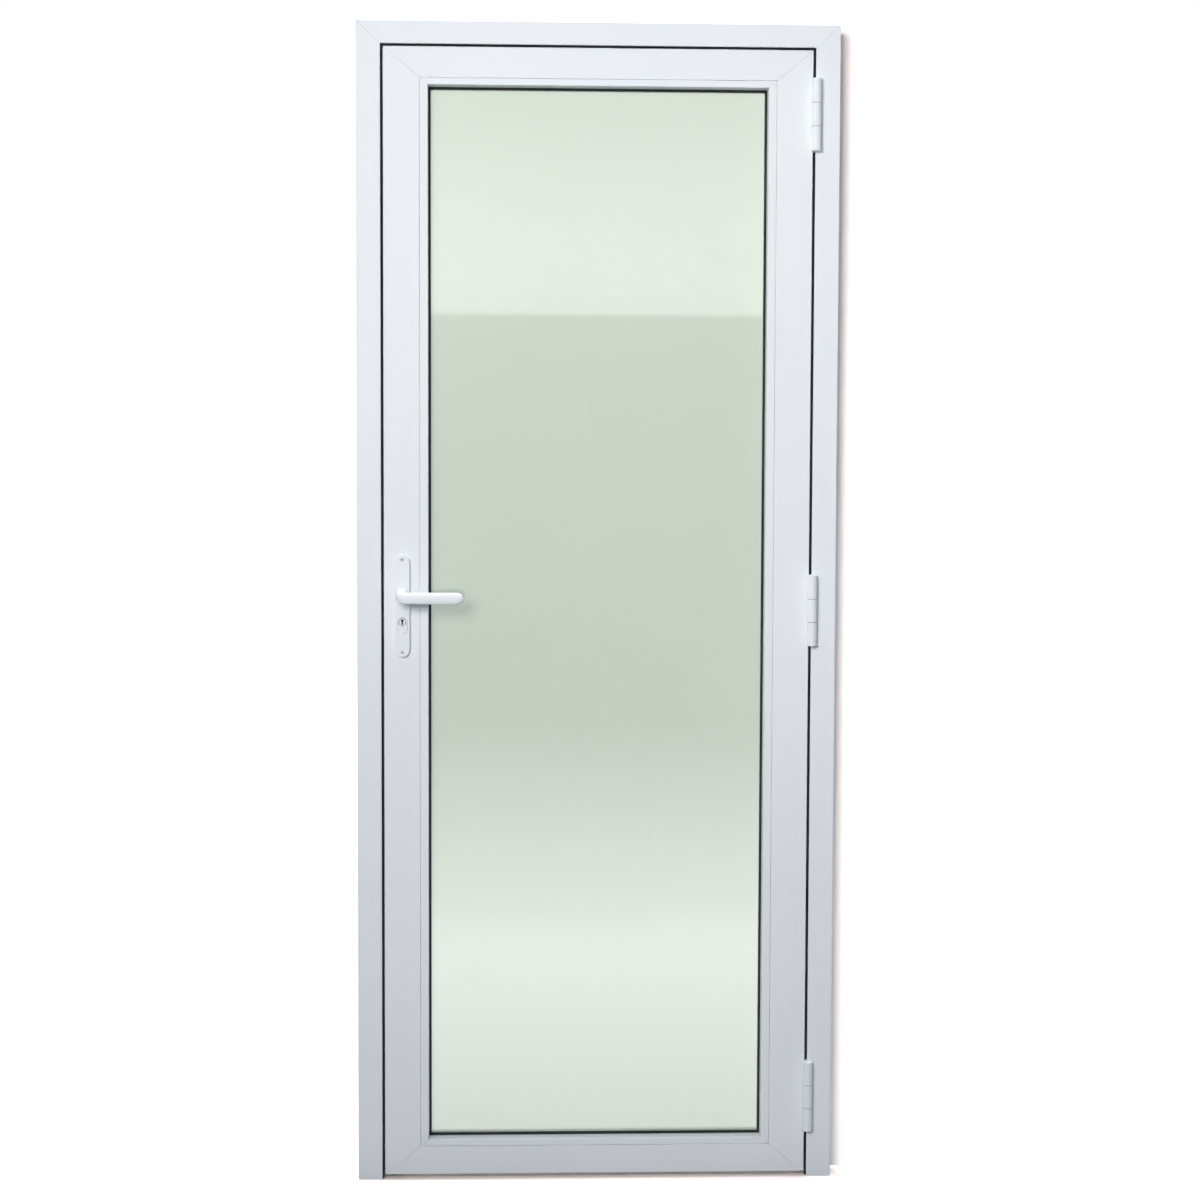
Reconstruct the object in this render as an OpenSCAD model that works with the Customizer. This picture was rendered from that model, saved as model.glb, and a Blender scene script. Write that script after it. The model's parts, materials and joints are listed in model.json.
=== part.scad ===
// Hinged glass door of white aluminium extrusions, in its three-sided frame.
// The inside face looks along -Y. The floor is Z = 0 and the middle plane of the leaf is Y = 0.
// All sizes are in millimetres.

/* [Overall] */
// Width over the outer frame
frame_w = 870; // [760:5:1000]
// Height over the outer frame
frame_h = 2103; // [1900:1:2400]
// Gap between the frame and the leaf at the sides and the top
reveal_gap = 5; // [4.5:0.5:7]
// Gap between the floor and the underside of the leaf
floor_gap = 10; // [8:1:25]
// Depth trimmed off the grooved edge at the underside of the leaf
foot_trim = 3; // [2.5:0.5:7]
// Hairline left in each mitre and beside each bead
joint_gap = 0.3; // [0.1:0.1:0.6]

/* [Extrusions] */
// Face width of the jambs
frame_face = 44; // [38:0.5:60]
// Face width of the head
head_face = 40.5; // [34:0.5:60]
// Face width of the stiles, up to the bead
stile_face = 65; // [60:0.5:80]
// Face width of the rails, up to the bead
rail_face = 54.5; // [50:0.5:80]
// Face width of the glazing bead along the stiles
bead_face = 15; // [14:0.5:20]
// Depth of the leaf, front to back
leaf_depth = 45; // [40:1:60]
// Room behind the leaf for the stop seal
seal_room = 5; // [4:0.5:8]
// Reach of the stop fin beyond the frame's inner face
fin_reach = 19; // [16:0.5:20.5]
// Wall thickness of the extrusions
wall = 1.8; // [1.4:0.1:2.4]
// Radius of the extrusions' corners
edge_r = 1; // [0.5:0.1:1.5]
// Width of the hardware groove's mouth
groove_mouth = 14; // [12:0.5:16]
// Width inside the hardware groove
groove_in = 20; // [18:0.5:22]
// Depth of the hardware groove
groove_depth = 9; // [8:0.5:11]
// Thickness of the hardware groove's lips
groove_lip = 2; // [1.5:0.1:2.5]
// Length of each corner cleat's leg
cleat_leg = 90; // [60:5:120]

/* [Glazing] */
// Thickness of the glass
glass_t = 6; // [4:0.5:10]
// Thickness of each gasket against the glass
pad_t = 3.5; // [2.5:0.5:5]
// Room between the rebate floor and the glass edge
glass_room = 4.5; // [3:0.5:6]
// How far the inner gasket shows past the bead
gasket_show = 4; // [0.5:0.1:5]
// Wall thickness of the bead
bead_wall = 1.5; // [1.2:0.1:2]
// Length of each setting block
block_len = 80; // [50:5:120]
// Distance from the rebate's corner to the middle of a block under or over the glass
block_in = 110; // [80:5:160]
// Distance from the end of a stile to a block beside the glass
block_up = 180; // [120:10:300]

/* [Seal holders] */
// Width of the seal holder at the tip of a fin
holder_w = 9; // [8:0.5:11]
// Depth of the seal holder
holder_d = 5; // [4.5:0.5:6]
// Width of the slot inside the holder
slot_w = 6; // [5:0.5:7]
// Width of the holder's mouth
slot_mouth = 3.4; // [2.5:0.1:4]

/* [Hinges] */
// Diameter of the hinge barrel
barrel_d = 18; // [16:0.5:22]
// Height of the whole barrel
barrel_h = 129; // [100:1:160]
// Offset of the hinge axis from the middle of the gap, toward the jamb
hinge_offset = 2.5; // [2:0.5:6]
// Diameter of the hinge pin
pin_d = 8; // [6:0.5:9]
// Wall of the bush in the middle knuckle
bush_wall = 1.5; // [1:0.1:2]
// Thickness of the bush flange between two knuckles
bush_flange = 0.8; // [0.5:0.1:1.5]
// Thickness of the cap on each end of the barrel
cap_t = 2; // [1.5:0.5:4]
// Thickness of each wing
wing_t = 2.2; // [1.8:0.1:2.2]
// Depth of each wing behind the face
wing_deep = 36; // [32:1:38]
// Height step between the wing screws
wing_pitch = 44; // [36:1:50]
// Height of the low hinge's middle
hinge_low = 153; // [140:1:250]
// Height of the middle hinge's middle
hinge_mid = 1050; // [900:5:1100]
// Distance from the top of the frame to the top hinge's middle
hinge_drop = 161; // [150:1:250]

/* [Lock] */
// Height of the spindle above the floor
spindle_z = 1081; // [950:1:1120]
// Distance from the leaf's edge to the spindle
backset = 33.5; // [30:0.5:36]
// Drop from the spindle to the key cylinder
cylinder_drop = 53; // [48:0.5:58]
// Thickness of the lock case
case_t = 15; // [14.5:0.5:15.5]
// Wall of the lock case
case_wall = 1.5; // [1:0.1:2]
// Width of the forend
forend_w = 16; // [15.5:0.5:17]
// Thickness of the forend
forend_t = 2.5; // [2.2:0.1:3]
// Travel of the latch bolt
latch_travel = 11; // [9:0.5:11.5]
// Travel of the deadbolt
bolt_travel = 12.5; // [10:0.5:13]
// Turn of the lever in degrees
lever_turn = 40; // [30:1:45]
// Thickness of the latch bolt and the deadbolt
bolt_t = 10; // [8:0.5:10]
// Width of the key cylinder
cyl_w = 17; // [16:0.5:17.5]
// Height of the key cylinder
cyl_h = 29.5; // [29:0.5:33]
// Diameter of the cylinder plug
plug_d = 12.4; // [11:0.1:13]
// How far the key cylinder stands out of the handle plate
cyl_proud = 2.5; // [1:0.5:4]
// Reach of the cam's nose
cam_reach = 15.5; // [14.5:0.1:15.5]
// Thickness of the strike plate
strike_t = 2; // [1.5:0.1:2.5]
// Width of the strike plate
strike_w = 20; // [18:0.5:24]

/* [Handle] */
// Width of each handle plate
plate_w = 27.5; // [25:0.5:32]
// Thickness of each handle plate
plate_t = 8; // [7:0.5:10]
// Height of the plate's top end above the spindle
plate_up = 69; // [66:1:85]
// Depth of the plate's bottom end below the spindle
plate_down = 117; // [114:1:128]
// Distance from each plate end to its screw
plate_screw_in = 9; // [8:0.5:11]
// Diameter of the lever's neck in the plate
neck_d = 18.4; // [17:0.1:20]
// Length of the lever from the spindle to the tip
lever_len = 111.5; // [100:0.5:140]
// Height of the lever
lever_tall = 21; // [18:0.5:24]
// Thickness of the lever
lever_deep = 12; // [10:0.5:14]
// Reach of the lever from the leaf's face
lever_out = 52; // [48:1:60]
// Width of the lever where it leaves the neck
neck_wide = 21; // [18.5:0.5:21]
// Drop from the spindle to the middle of the grip
grip_drop = 8; // [0:0.5:10]
// Length of the grip's rounded end along its lower edge
tip_long = 18; // [10:0.5:24]
// Width of the square spindle
spindle_w = 8; // [7:0.5:8]

/* [Wall fixing] */
// Diameter of the fixing holes
fix_d = 8; // [6:0.5:10]
// Height of the lowest fixing hole in each jamb
fix_first = 300; // [260:10:350]
// Height step between the fixing holes
fix_step = 500; // [480:10:520]
// Distance between the two fixing holes in the head
fix_head = 400; // [300:10:500]

/* [Clearances] */
// Radial clearance of a turning fit
run_gap = 0.05; // [0.02:0.01:0.1]
// Clearance of a sliding bolt on each side
slide_gap = 0.2; // [0.1:0.05:0.4]
// Clearance of a piece pushed into a hollow
push_gap = 0.2; // [0.1:0.05:0.3]
// Gap left between two seated faces that turn or press on each other
seat_gap = 0.03; // [0.01:0.01:0.1]
// Radial clearance of a screw in its hole
screw_gap = 0.1; // [0.05:0.05:0.3]

/* [Hidden] */
$fn = 64;
eps = 0.01;

// Planes of the frame and the leaf
face_y = -leaf_depth / 2;
frame_depth = leaf_depth + seal_room + holder_d;
jamb_x = frame_w / 2 - frame_face;
leaf_w = frame_w - 2 * (frame_face + reveal_gap);
edge_x = leaf_w / 2;
leaf_top = frame_h - head_face - reveal_gap;
leaf_foot = floor_gap - foot_trim;
leaf_h = leaf_top - leaf_foot;
stile_sight = stile_face + bead_face;
rail_sight = stile_sight * rail_face / stile_face;
sight = [stile_sight, rail_sight];
groove_d = leaf_depth / 2;
jamb_tip = frame_face + fin_reach;
head_tip = jamb_tip * head_face / frame_face;
fin_tip = [jamb_tip, head_tip];

// Depths of the glazing, from the inside face
glass_back = leaf_depth - holder_d - pad_t;
glass_front = glass_back - glass_t;
bead_depth = glass_front - pad_t;
rebate = [stile_face, rail_face];
glass_in = grow(rebate, glass_room);

// Snap channel that holds the bead's foot
clip_at = bead_depth / 2;
clip_in = 7.8;
clip_mouth = 5;
clip_depth = 4.5;
clip_lip = 1.5;

// Hinges
hinge_x = jamb_x - reveal_gap / 2 + hinge_offset;
hinge_y = face_y - barrel_d / 2 - 0.3;
hinge_top = frame_h - hinge_drop;
hinge_z = [hinge_low, hinge_mid, hinge_top];
knuckle_h = (barrel_h - 2 * cap_t - 2 * bush_flange) / 3;
bush_r = pin_d / 2 + run_gap + bush_wall;
wing_start = 0.8;
wing_screw_r = 2.4;
wing_head_r = 4;

// Lock
lock_edge = -edge_x;
spindle_x = lock_edge + backset;
cyl_z = spindle_z - cylinder_drop;
cyl_r = cyl_w / 2;
cyl_low = cyl_h - cyl_w;
key_r = 2.4;
key_up = 2.6;
key_w = 2.6;
key_low = -5;
cyl_screw_z = cyl_z - cam_reach - 3.8;
cyl_end = -face_y + plate_t + cyl_proud;
case_back = backset + 22;
case_top = 42;
case_low = -cylinder_drop - 30.5;
forend_top = 88;
forend_low = -110;
forend_screw_in = 10;
strike_top = 62;
strike_low = -65;
strike_screw_in = 10;
latch_mid = 18;
latch_tall = 14;
bolt_low = -cylinder_drop + 14;
bolt_top = bolt_low + 17;
follower_r = 9;
follower_boss_r = 7.95;
arm_r = latch_travel / (2 * sin(lever_turn / 2));
arm_tip_r = 2.5;
tail_low = arm_r + arm_tip_r + 0.4;
tail_tall = 3.6;
hook_at = backset - latch_travel / 2 + arm_tip_r + 0.3;
hook_t = 3;
hook_low = arm_r * cos(lever_turn / 2) + 0.3;

// Handle
plate_front = face_y - plate_t;
plate_screw_z = [plate_up - plate_screw_in, plate_screw_in - plate_down];
plate_screw_r = 2.4;
plate_head_r = 3.9;
grip_y = face_y - lever_out + lever_deep / 2;
elbow_r = lever_deep / 2 + 5;
turn_y = grip_y + elbow_r;
neck_in = neck_d / 2 - 0.4;
neck_run = plate_front - 7 - turn_y;
tip_top_long = 0.7 * tip_long;
tip_rise = 0.55 * lever_tall;
tip_fall = lever_tall - tip_rise - 0.5;
lever_sides = 32;
socket_end = face_y - 30.5;
grub_y = face_y - 19.5;

// Solid box between two opposite corners
module box(a, b) {
    translate(a) cube(b - a);
}

// Flat rectangle between two opposite corners
module rect(a, b) {
    translate(a) square(b - a);
}

// Flat rectangle with round corners
module round_rect(a, b, r) {
    rect([a.x + r, a.y], [b.x - r, b.y]);
    rect([a.x, a.y + r], [b.x, b.y - r]);
    for (x = [a.x + r, b.x - r])
        for (y = [a.y + r, b.y - r])
            translate([x, y]) circle(r);
}

// Round rod along X
module rod_x(x0, x1, r, y, z) {
    translate([x0, y, z]) rotate([0, 90, 0]) cylinder(h = x1 - x0, r = r);
}

// Round rod along Y
module rod_y(y0, y1, r, x, z) {
    translate([x, y0, z]) rotate([-90, 0, 0]) cylinder(h = y1 - y0, r = r);
}

// Flat-headed screw that points along +Z, with its head's face at Z = 0
module flat_screw(r, head_r, length) {
    difference() {
        union() {
            cylinder(h = head_r - r, r1 = head_r, r2 = r);
            cylinder(h = length, r = r);
        }
        for (a = [0, 90])
            rotate([0, 0, a]) box([-head_r * 0.55, -0.45, -1], [head_r * 0.55, 0.45, head_r * 0.35]);
    }
}

// Hole for such a screw
module flat_hole(r, head_r, length) {
    g = screw_gap;
    translate([0, 0, -eps]) cylinder(h = head_r - r + eps, r1 = head_r + g + eps, r2 = r + g);
    cylinder(h = length, r = r + g);
    translate([0, 0, -1]) cylinder(h = 1, r = head_r + g);
}

// Points a screw or its hole along +X or -X
module toward_x(x, y, z, way) {
    translate([x, y, z]) rotate([0, 90 * way, 0]) children();
}

// Both distances of a pair, moved by the same amount
function grow(pair, by) = [pair.x + by, pair.y + by];

// Cuts a profile to length with a mitre at its far end, and at its near end if asked.
// The mitre runs from the outer corner to the inner one, so its slope is the other width over this one.
module mitred(length, width, other, near) {
    slope = other / width;
    m = joint_gap / 2 * sqrt(1 + slope * slope);
    e = width * 2;
    intersection() {
        linear_extrude(length) children();
        translate([0, frame_depth * 2, 0]) rotate([90, 0, 0]) linear_extrude(frame_depth * 4) polygon([
            [-1, near ? m - slope : 0],
            [e, near ? e * slope + m : 0],
            [e, length - e * slope - m],
            [-1, length + slope - m]
        ]);
    }
}

// Slot for the foot of a seal, in a holder that opens toward the front
module seal_slot(tip, back) {
    mid = tip - holder_w / 2;
    rect([mid - slot_w / 2, back - holder_d + 1.4], [mid + slot_w / 2, back - 1.2]);
    rect([mid - slot_mouth / 2, back - holder_d - 1], [mid + slot_mouth / 2, back - 1.2]);
}

// Hardware groove that opens toward the gap, on the edge at the given place
module groove(at, way) {
    f = groove_depth * way;
    l = groove_lip * way;
    rect([min(at + f, at + l), groove_d - groove_in / 2], [max(at + f, at + l), groove_d + groove_in / 2]);
    rect([min(at + f, at - way), groove_d - groove_mouth / 2],
        [max(at + f, at - way), groove_d + groove_mouth / 2]);
}

// Cross-section of the outer frame: X runs from the wall inward
module frame_profile(face, tip) {
    floor_u = face - groove_depth;
    translate([0, face_y]) difference() {
        union() {
            round_rect([0, 0], [face, frame_depth], edge_r);
            rect([face - 3, frame_depth - wall], [tip, frame_depth]);
            rect([tip - holder_w, frame_depth - holder_d], [tip, frame_depth]);
        }
        rect([wall, wall], [floor_u - wall, frame_depth - wall]);
        rect([floor_u, wall], [face - wall, groove_d - groove_in / 2 - wall]);
        rect([floor_u, groove_d + groove_in / 2 + wall], [face - wall, frame_depth - wall]);
        groove(face, -1);
        seal_slot(tip, frame_depth);
    }
}

// Cross-section of the leaf: X runs from the gap toward the glass
module leaf_profile(face, tip) {
    clip_floor = face - clip_depth - wall;
    translate([0, face_y]) difference() {
        union() {
            round_rect([0, 0], [face, leaf_depth], edge_r);
            rect([face - 3, leaf_depth - wall], [tip, leaf_depth]);
            rect([tip - holder_w, leaf_depth - holder_d], [tip, leaf_depth]);
        }
        rect([groove_depth + wall, wall], [clip_floor, leaf_depth - wall]);
        rect([clip_floor - eps, wall], [face - wall, clip_at - clip_in / 2 - wall]);
        rect([clip_floor - eps, clip_at + clip_in / 2 + wall], [face - wall, leaf_depth - wall]);
        rect([wall, wall], [groove_depth, groove_d - groove_in / 2 - wall]);
        rect([wall, groove_d + groove_in / 2 + wall], [groove_depth, leaf_depth - wall]);
        groove(0, 1);
        rect([face - clip_depth, clip_at - clip_in / 2], [face - clip_lip, clip_at + clip_in / 2]);
        rect([face - clip_depth, clip_at - clip_mouth / 2], [face + 1, clip_at + clip_mouth / 2]);
        seal_slot(tip, leaf_depth);
    }
}

// Cross-section of the glazing bead, with its snap foot
module bead_profile(face, tip) {
    low = face + joint_gap;
    toe = face - clip_depth + 0.4;
    translate([0, face_y]) {
        difference() {
            round_rect([low, 0], [tip, bead_depth], edge_r);
            rect([low + bead_wall, bead_wall], [tip - bead_wall, bead_depth - bead_wall]);
        }
        rect([toe, clip_at - clip_mouth / 2 + push_gap], [low + 0.5, clip_at + clip_mouth / 2 - push_gap]);
        rect([toe, clip_at - clip_in / 2 + push_gap],
            [face - clip_lip - push_gap, clip_at + clip_in / 2 - push_gap]);
    }
}

// Lies along the left edge of the leaf
module on_lock_side() {
    translate([lock_edge, 0, leaf_foot]) children();
}

// Lies along the right edge of the leaf
module on_hinge_side() {
    mirror([1, 0, 0]) on_lock_side() children();
}

// Lies along the top edge of the leaf
module on_top() {
    translate([lock_edge, 0, leaf_top]) rotate([0, 90, 0]) children();
}

// Lies along the bottom edge of the leaf
module on_bottom() {
    translate([lock_edge, 0, leaf_foot]) mirror([0, 0, 1]) rotate([0, 90, 0]) children();
}

// Ring around the glass between two pairs of distances from the leaf's edge, at the stiles and at the rails
module leaf_ring(outer, inner, d0, d1) {
    translate([0, face_y + d1, 0]) rotate([90, 0, 0]) linear_extrude(d1 - d0) difference() {
        rect([lock_edge + outer.x, leaf_foot + outer.y], [edge_x - outer.x, leaf_top - outer.y]);
        rect([lock_edge + inner.x, leaf_foot + inner.y], [edge_x - inner.x, leaf_top - inner.y]);
    }
}

// Three-sided ring around the doorway between two pairs of distances, at the jambs and at the head
module frame_ring(outer, inner, d0, d1) {
    o = frame_w / 2 - outer.x;
    i = frame_w / 2 - inner.x;
    translate([0, face_y + d1, 0]) rotate([90, 0, 0]) linear_extrude(d1 - d0) difference() {
        rect([-o, 0], [o, frame_h - outer.y]);
        rect([-i, -1], [i, frame_h - inner.y]);
    }
}

// Holes for the wall fixings in one jamb, drilled across the outer wall and the groove floor
module jamb_fixings() {
    for (k = [0 : 3])
        rod_x(-1, frame_face - groove_depth + 1, fix_d / 2, 0, fix_first + k * fix_step);
}

module frame_lock_jamb() {
    color([0.93, 0.94, 0.95]) translate([-frame_w / 2, 0, 0]) difference() {
        mitred(frame_h, frame_face, head_face, false) frame_profile(frame_face, jamb_tip);
        jamb_fixings();
    }
}

module frame_hinge_jamb() {
    color([0.93, 0.94, 0.95]) mirror([1, 0, 0]) translate([-frame_w / 2, 0, 0]) difference() {
        mitred(frame_h, frame_face, head_face, false) frame_profile(frame_face, jamb_tip);
        jamb_fixings();
    }
}

module frame_head() {
    color([0.93, 0.94, 0.95]) translate([-frame_w / 2, 0, frame_h]) rotate([0, 90, 0]) difference() {
        mitred(frame_w, head_face, frame_face, true) frame_profile(head_face, head_tip);
        for (s = [-1, 1])
            rod_x(-1, head_face - groove_depth + 1, fix_d / 2, 0, frame_w / 2 + s * fix_head / 2);
    }
}

// Corner cleat in the X-Z plane: two legs from the outer corner, lightened by a pocket in each
module cleat(up_w, side_w, deep) {
    rim = 5;
    difference() {
        box([0, 0, 0], [cleat_leg, deep, cleat_leg]);
        box([up_w, -1, side_w], [cleat_leg + 1, deep + 1, cleat_leg + 1]);
        box([rim, -1, side_w + rim], [up_w - rim, deep + 1, cleat_leg - rim]);
        box([up_w + rim, -1, rim], [cleat_leg - rim, deep + 1, side_w - rim]);
    }
}

module frame_corner_cleats() {
    in = wall + push_gap;
    side = frame_face - groove_depth - in;
    up = head_face - groove_depth - in;
    slope = head_face / frame_face;
    color([0.72, 0.73, 0.74]) for (s = [0, 1])
        mirror([s, 0, 0])
            translate([-frame_w / 2 + in, face_y + in, frame_h - in]) mirror([0, 0, 1])
                cleat(min(side, up / slope) - in, min(up, side * slope) - in, frame_depth - 2 * in);
}

module frame_stop_seal() {
    mid = grow(fin_tip, -holder_w / 2);
    foot = slot_w / 2 - push_gap;
    stem = slot_mouth / 2 - push_gap;
    lip = stem + 1.4;
    lip_d = frame_depth - holder_d;
    color([0.08, 0.08, 0.09]) {
        frame_ring(grow(mid, -foot), grow(mid, foot), lip_d + 1.4 + push_gap, frame_depth - 1.2 - push_gap);
        frame_ring(grow(mid, -stem), grow(mid, stem), lip_d - 1, lip_d + 1.4 + 2 * push_gap);
        frame_ring(grow(mid, -lip), grow(mid, lip), leaf_depth + 0.3, lip_d - push_gap);
    }
}

// Blocks that slide in the hardware groove and take the screws
module groove_block(half_h) {
    box([groove_lip + 0.05, push_gap - groove_in / 2, -half_h],
        [groove_depth - 0.1, groove_in / 2 - push_gap, half_h]);
}

module strike_plate() {
    z0 = spindle_z + strike_low;
    z1 = spindle_z + strike_top;
    g = 0.6;
    color([0.75, 0.76, 0.77]) difference() {
        box([-jamb_x, -strike_w / 2, z0], [strike_t - jamb_x, strike_w / 2, z1]);
        box([-jamb_x - 1, -bolt_t / 2 - g, spindle_z + latch_mid - latch_tall / 2 - g],
            [strike_t - jamb_x + 1, bolt_t / 2 + g, spindle_z + latch_mid + latch_tall / 2 + g]);
        box([-jamb_x - 1, -bolt_t / 2 - g, spindle_z + bolt_low - g],
            [strike_t - jamb_x + 1, bolt_t / 2 + g, spindle_z + bolt_top + g]);
        for (z = [z0 + strike_screw_in, z1 - strike_screw_in])
            toward_x(strike_t - jamb_x, 0, z, -1) flat_hole(2, 3.4, 6);
    }
}

module strike_blocks() {
    z0 = spindle_z + strike_low + strike_screw_in;
    z1 = spindle_z + strike_top - strike_screw_in;
    color([0.66, 0.67, 0.68]) for (z = [z0, z1])
        difference() {
            translate([-jamb_x, 0, z]) mirror([1, 0, 0]) groove_block(8);
            toward_x(strike_t - jamb_x, 0, z, -1) flat_hole(2, 3.4, 15);
        }
}

module strike_screws() {
    z0 = spindle_z + strike_low + strike_screw_in;
    z1 = spindle_z + strike_top - strike_screw_in;
    color([0.7, 0.7, 0.72]) for (z = [z0, z1])
        toward_x(strike_t - jamb_x, 0, z, -1) flat_screw(2, 3.4, 9.5);
}

// Foot of a knuckle from the middle of its hinge; the three are counted from the bottom
function knuckle_at(k) = cap_t - barrel_h / 2 + k * (knuckle_h + bush_flange);

// One knuckle of a hinge
module knuckle(zc, k) {
    translate([hinge_x, hinge_y, zc])
        translate([0, 0, knuckle_at(k)]) cylinder(h = knuckle_h, r = barrel_d / 2);
}

// Web from a knuckle back to its wing
module knuckle_web(zc, k, x0) {
    z0 = knuckle_at(k);
    translate([0, 0, zc])
        box([x0, hinge_y, z0], [x0 + wing_t, face_y + wing_start + 1, z0 + knuckle_h]);
}

module frame_wing(zc) {
    color([0.93, 0.94, 0.95]) difference() {
        union() {
            box([jamb_x - wing_t, face_y + wing_start, zc - barrel_h / 2],
                [jamb_x, face_y + wing_deep, zc + barrel_h / 2]);
            for (k = [0, 2]) {
                knuckle(zc, k);
                knuckle_web(zc, k, jamb_x - wing_t);
            }
        }
        translate([hinge_x, hinge_y, zc - barrel_h]) cylinder(h = 2 * barrel_h, r = pin_d / 2 + 0.02);
        for (k = [-1 : 1])
            toward_x(jamb_x - wing_t, 0, zc + k * wing_pitch, 1) flat_hole(wing_screw_r, wing_head_r, 6);
    }
}

module leaf_wing(zc) {
    color([0.93, 0.94, 0.95]) difference() {
        union() {
            box([edge_x, face_y + wing_start, zc - barrel_h / 2],
                [edge_x + wing_t, face_y + wing_deep, zc + barrel_h / 2]);
            knuckle(zc, 1);
            knuckle_web(zc, 1, edge_x);
        }
        translate([hinge_x, hinge_y, zc - barrel_h]) cylinder(h = 2 * barrel_h, r = bush_r + push_gap / 2);
        for (k = [-1 : 1])
            toward_x(edge_x + wing_t, 0, zc + k * wing_pitch, -1) flat_hole(wing_screw_r, wing_head_r, 6);
    }
}

module hinge_top_frame_wing() {
    frame_wing(hinge_top);
}

module hinge_mid_frame_wing() {
    frame_wing(hinge_mid);
}

module hinge_low_frame_wing() {
    frame_wing(hinge_low);
}

module hinge_top_leaf_wing() {
    leaf_wing(hinge_top);
}

module hinge_mid_leaf_wing() {
    leaf_wing(hinge_mid);
}

module hinge_low_leaf_wing() {
    leaf_wing(hinge_low);
}

module hinge_pin(zc) {
    color([0.7, 0.7, 0.72]) translate([hinge_x, hinge_y, zc - barrel_h / 2 + cap_t + 3])
        cylinder(h = barrel_h - 2 * cap_t - 6, r = pin_d / 2);
}

module hinge_top_pin() {
    hinge_pin(hinge_top);
}

module hinge_mid_pin() {
    hinge_pin(hinge_mid);
}

module hinge_low_pin() {
    hinge_pin(hinge_low);
}

// Caps that close both ends of each barrel
module hinge_caps() {
    color([0.93, 0.94, 0.95]) for (zc = hinge_z)
        for (s = [0, 1])
            translate([hinge_x, hinge_y, zc]) mirror([0, 0, s]) translate([0, 0, barrel_h / 2 - cap_t]) {
                translate([0, 0, seat_gap]) cylinder(h = cap_t - 0.6 - seat_gap, r = barrel_d / 2);
                translate([0, 0, cap_t - 0.6]) cylinder(h = 0.6, r1 = barrel_d / 2, r2 = barrel_d / 2 - 0.6);
                translate([0, 0, -2.9]) cylinder(h = 3, r = pin_d / 2 - push_gap);
            }
}

// Flanged bushes in both ends of each middle knuckle
module hinge_bushes() {
    color([0.2, 0.2, 0.21]) for (zc = hinge_z)
        for (s = [0, 1])
            translate([hinge_x, hinge_y, zc]) mirror([0, 0, s]) difference() {
                union() {
                    translate([0, 0, knuckle_h / 2 - 12]) cylinder(h = 12 + bush_flange / 2, r = bush_r);
                    translate([0, 0, knuckle_h / 2 + seat_gap])
                        cylinder(h = bush_flange - 2 * seat_gap, r = barrel_d / 2 - 0.6);
                }
                cylinder(h = barrel_h, r = pin_d / 2 + run_gap);
            }
}

module hinge_frame_blocks() {
    color([0.66, 0.67, 0.68]) for (zc = hinge_z)
        difference() {
            translate([jamb_x, 0, zc]) groove_block(barrel_h / 2);
            for (k = [-1 : 1])
                toward_x(jamb_x - wing_t, 0, zc + k * wing_pitch, 1) flat_hole(wing_screw_r, wing_head_r, 15);
        }
}

module hinge_leaf_blocks() {
    color([0.66, 0.67, 0.68]) for (zc = hinge_z)
        difference() {
            translate([edge_x, 0, zc]) mirror([1, 0, 0]) groove_block(barrel_h / 2);
            for (k = [-1 : 1])
                toward_x(edge_x + wing_t, 0, zc + k * wing_pitch, -1) flat_hole(wing_screw_r, wing_head_r, 15);
        }
}

module hinge_frame_screws() {
    color([0.7, 0.7, 0.72]) for (zc = hinge_z)
        for (k = [-1 : 1])
            toward_x(jamb_x - wing_t, 0, zc + k * wing_pitch, 1) flat_screw(wing_screw_r, wing_head_r, 9.5);
}

module hinge_leaf_screws() {
    color([0.7, 0.7, 0.72]) for (zc = hinge_z)
        for (k = [-1 : 1])
            toward_x(edge_x + wing_t, 0, zc + k * wing_pitch, -1) flat_screw(wing_screw_r, wing_head_r, 9.5);
}

// Everything below the trimmed underside of the leaf
module below_leaf() {
    box([-frame_w, -frame_depth, -frame_h], [frame_w, frame_depth, floor_gap]);
}

// Outline of the key cylinder, grown by a clearance, as a bar along Y
module cylinder_bar(grow, y0, y1) {
    r = cyl_r + grow;
    translate([spindle_x, y1, cyl_z]) rotate([90, 0, 0]) linear_extrude(y1 - y0) {
        circle(r);
        translate([0, -cyl_low]) circle(r);
        rect([-r, -cyl_low], [r, 0]);
    }
}

// Pockets routed and drilled in the lock stile
module lock_cutouts() {
    far = leaf_depth;
    box([lock_edge - 1, -forend_w / 2 - 0.1, spindle_z + forend_low - 0.1],
        [lock_edge + forend_t + 0.05, forend_w / 2 + 0.1, spindle_z + forend_top + 0.1]);
    box([lock_edge + 1, -case_t / 2 - push_gap, spindle_z + case_low - push_gap],
        [lock_edge + groove_depth + wall + 1, case_t / 2 + push_gap, spindle_z + case_top + push_gap]);
    rod_y(-far, far, neck_d / 2 + 1.5, spindle_x, spindle_z);
    cylinder_bar(1, -far, far);
    for (z = plate_screw_z)
        rod_y(-far, far, plate_screw_r + 0.8, spindle_x, spindle_z + z);
}

module leaf_lock_stile() {
    color([0.93, 0.94, 0.95]) difference() {
        on_lock_side() mitred(leaf_h, stile_sight, rail_sight, true) leaf_profile(stile_face, stile_sight);
        below_leaf();
        lock_cutouts();
    }
}

module leaf_hinge_stile() {
    color([0.93, 0.94, 0.95]) difference() {
        on_hinge_side() mitred(leaf_h, stile_sight, rail_sight, true) leaf_profile(stile_face, stile_sight);
        below_leaf();
    }
}

module leaf_top_rail() {
    color([0.93, 0.94, 0.95]) on_top()
        mitred(leaf_w, rail_sight, stile_sight, true) leaf_profile(rail_face, rail_sight);
}

module leaf_bottom_rail() {
    color([0.93, 0.94, 0.95]) difference() {
        on_bottom() mitred(leaf_w, rail_sight, stile_sight, true) leaf_profile(rail_face, rail_sight);
        below_leaf();
    }
}

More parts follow.
